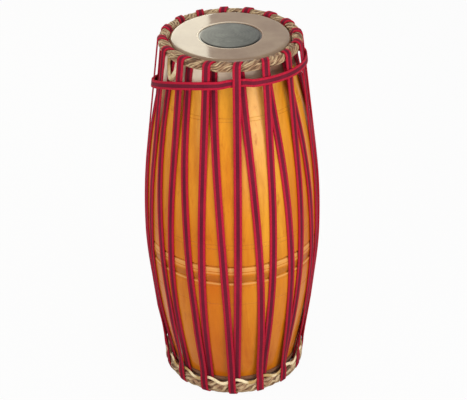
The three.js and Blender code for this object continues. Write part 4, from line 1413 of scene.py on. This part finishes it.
class MakeStage(bpy.types.Operator):
    """Makes the floor, the soft lights and the camera at the photograph's viewing angle"""

    bl_idname = "mridangam.make_stage"
    bl_label = "Make stage"

    FLOOR_REACH = 12.0

    def execute(self, context):
        stage = context.scene.mridangam.stage
        self.make_camera(context, stage)
        self.make_floor(context, stage)
        self.make_world(context, stage)
        middle = Vector((0, 0, (CAD_LOW.z + CAD_HIGH.z) / 2))
        self.make_light("side_softbox", (1.4, -1.55, 0.5), middle, (1.5, 0.66), stage.side_light)
        self.make_light("fill_softbox", (-1.3, -1.7, 0.8), middle, (1.0, 1.3), stage.fill_light)
        self.make_light("top_softbox", (0.25, -0.55, 2.1), middle, (1.2, 1.2), stage.top_light)
        beside = (-0.56, 0, 0.6)
        panel = self.make_light("back_panel", (-0.56, 1.5, 1.3), beside, (1.0, 0.9), stage.back_light)
        panel.data.color = PANEL_TINT
        context.scene.view_settings.view_transform = "Standard"
        return {"FINISHED"}

    def make_camera(self, context, stage):
        """The camera: level place, yaw, pitch and roll, with a lens for the photograph's frame."""
        turned = Matrix.Rotation(-stage.camera_yaw, 4, "Z")
        turned = turned @ Matrix.Rotation(math.pi / 2 - stage.camera_pitch, 4, "X")
        turned = turned @ Matrix.Rotation(stage.camera_roll, 4, "Z")
        data = bpy.data.cameras.new("camera")
        data.sensor_fit = "HORIZONTAL"
        data.sensor_width = SENSOR_WIDTH
        data.lens = stage.focal_pixels * SENSOR_WIDTH / IMAGE_WIDTH
        camera = bpy.data.objects.new("camera", data)
        camera.matrix_world = Matrix.Translation((0, -stage.camera_back, stage.camera_height)) @ turned
        context.scene.collection.objects.link(camera)
        context.scene.camera = camera

    def make_floor(self, context, stage):
        """A wide floor just under the lacing's lower loops."""
        signs = ((-1, -1), (1, -1), (1, 1), (-1, 1))
        corners = [(x * self.FLOOR_REACH, y * self.FLOOR_REACH, CAD_LOW.z - HAIR) for x, y in signs]
        mesh = bpy.data.meshes.new("floor")
        mesh.from_pydata(corners, [], [(0, 1, 2, 3)])
        mesh.materials.append(pale_floor(stage))
        floor = bpy.data.objects.new("floor", mesh)
        context.scene.collection.objects.link(floor)

    def make_world(self, context, stage):
        """Even light all round, which looks white."""
        world = bpy.data.worlds.new("studio")
        world.use_nodes = True
        nodes = Nodes(world.node_tree)
        light = nodes.tree.nodes["Background"]
        light.inputs["Color"].default_value = WHITE
        light.inputs["Strength"].default_value = stage.world_light
        white = nodes.add("Background", {"Color": WHITE, "Strength": 1.0})
        mixed = nodes.mix_shaders(nodes.seen_rays(), light.outputs[0], white.outputs[0])
        nodes.feed(nodes.tree.nodes["World Output"].inputs["Surface"], mixed)
        context.scene.world = world

    def make_light(self, name, where, target, sizes, radiance):
        """A rectangular soft light of the given radiance, turned to its target and unseen by the camera."""
        data = bpy.data.lights.new(name, "AREA")
        data.shape = "RECTANGLE"
        data.size, data.size_y = sizes
        data.energy = radiance * math.pi * sizes[0] * sizes[1]
        light = bpy.data.objects.new(name, data)
        light.location = where
        light.rotation_euler = (Vector(target) - Vector(where)).to_track_quat("-Z", "Y").to_euler()
        light.visible_camera = False
        bpy.context.scene.collection.objects.link(light)
        return light


class MridangamPanel(bpy.types.Panel):
    """Lists the makers of the drum's pieces, and their sizes and colours"""

    bl_idname = "VIEW3D_PT_mridangam"
    bl_label = "Mridangam"
    bl_space_type = "VIEW_3D"
    bl_region_type = "UI"
    bl_category = "Mridangam"

    def draw(self, context):
        settings = context.scene.mridangam
        for maker in MAKERS:
            self.layout.operator(maker.bl_idname)
        for part in MridangamSettings.__annotations__:
            owner = getattr(settings, part)
            box = self.layout.box()
            for key in type(owner).__annotations__:
                box.prop(owner, key)


MAKERS = (MakeShell, MakeSkins, MakePatch, MakePlaits, MakeLacing, MakeGirdle, MakeThongs, MakeStage)
GROUPS = (ShellSettings, HeadSettings, PlaitSettings, LacingSettings, GirdleSettings, ThongSettings)
CLASSES = (*GROUPS, StageSettings, MridangamSettings, *MAKERS, MridangamPanel)


def register():
    """Registers the settings, the makers and their panel."""
    for kind in CLASSES:
        bpy.utils.register_class(kind)
    bpy.types.Scene.mridangam = PointerProperty(type=MridangamSettings)


def unregister():
    """Undoes register."""
    del bpy.types.Scene.mridangam
    for kind in reversed(CLASSES):
        bpy.utils.unregister_class(kind)


def main():
    """Makes every piece in order."""
    register()
    bpy.ops.mridangam.make_shell()
    bpy.ops.mridangam.make_skins()
    bpy.ops.mridangam.make_patch()
    bpy.ops.mridangam.make_plaits()
    bpy.ops.mridangam.make_lacing()
    bpy.ops.mridangam.make_girdle()
    bpy.ops.mridangam.make_thongs()
    bpy.ops.mridangam.make_stage()


if __name__ == "__main__":
    main()
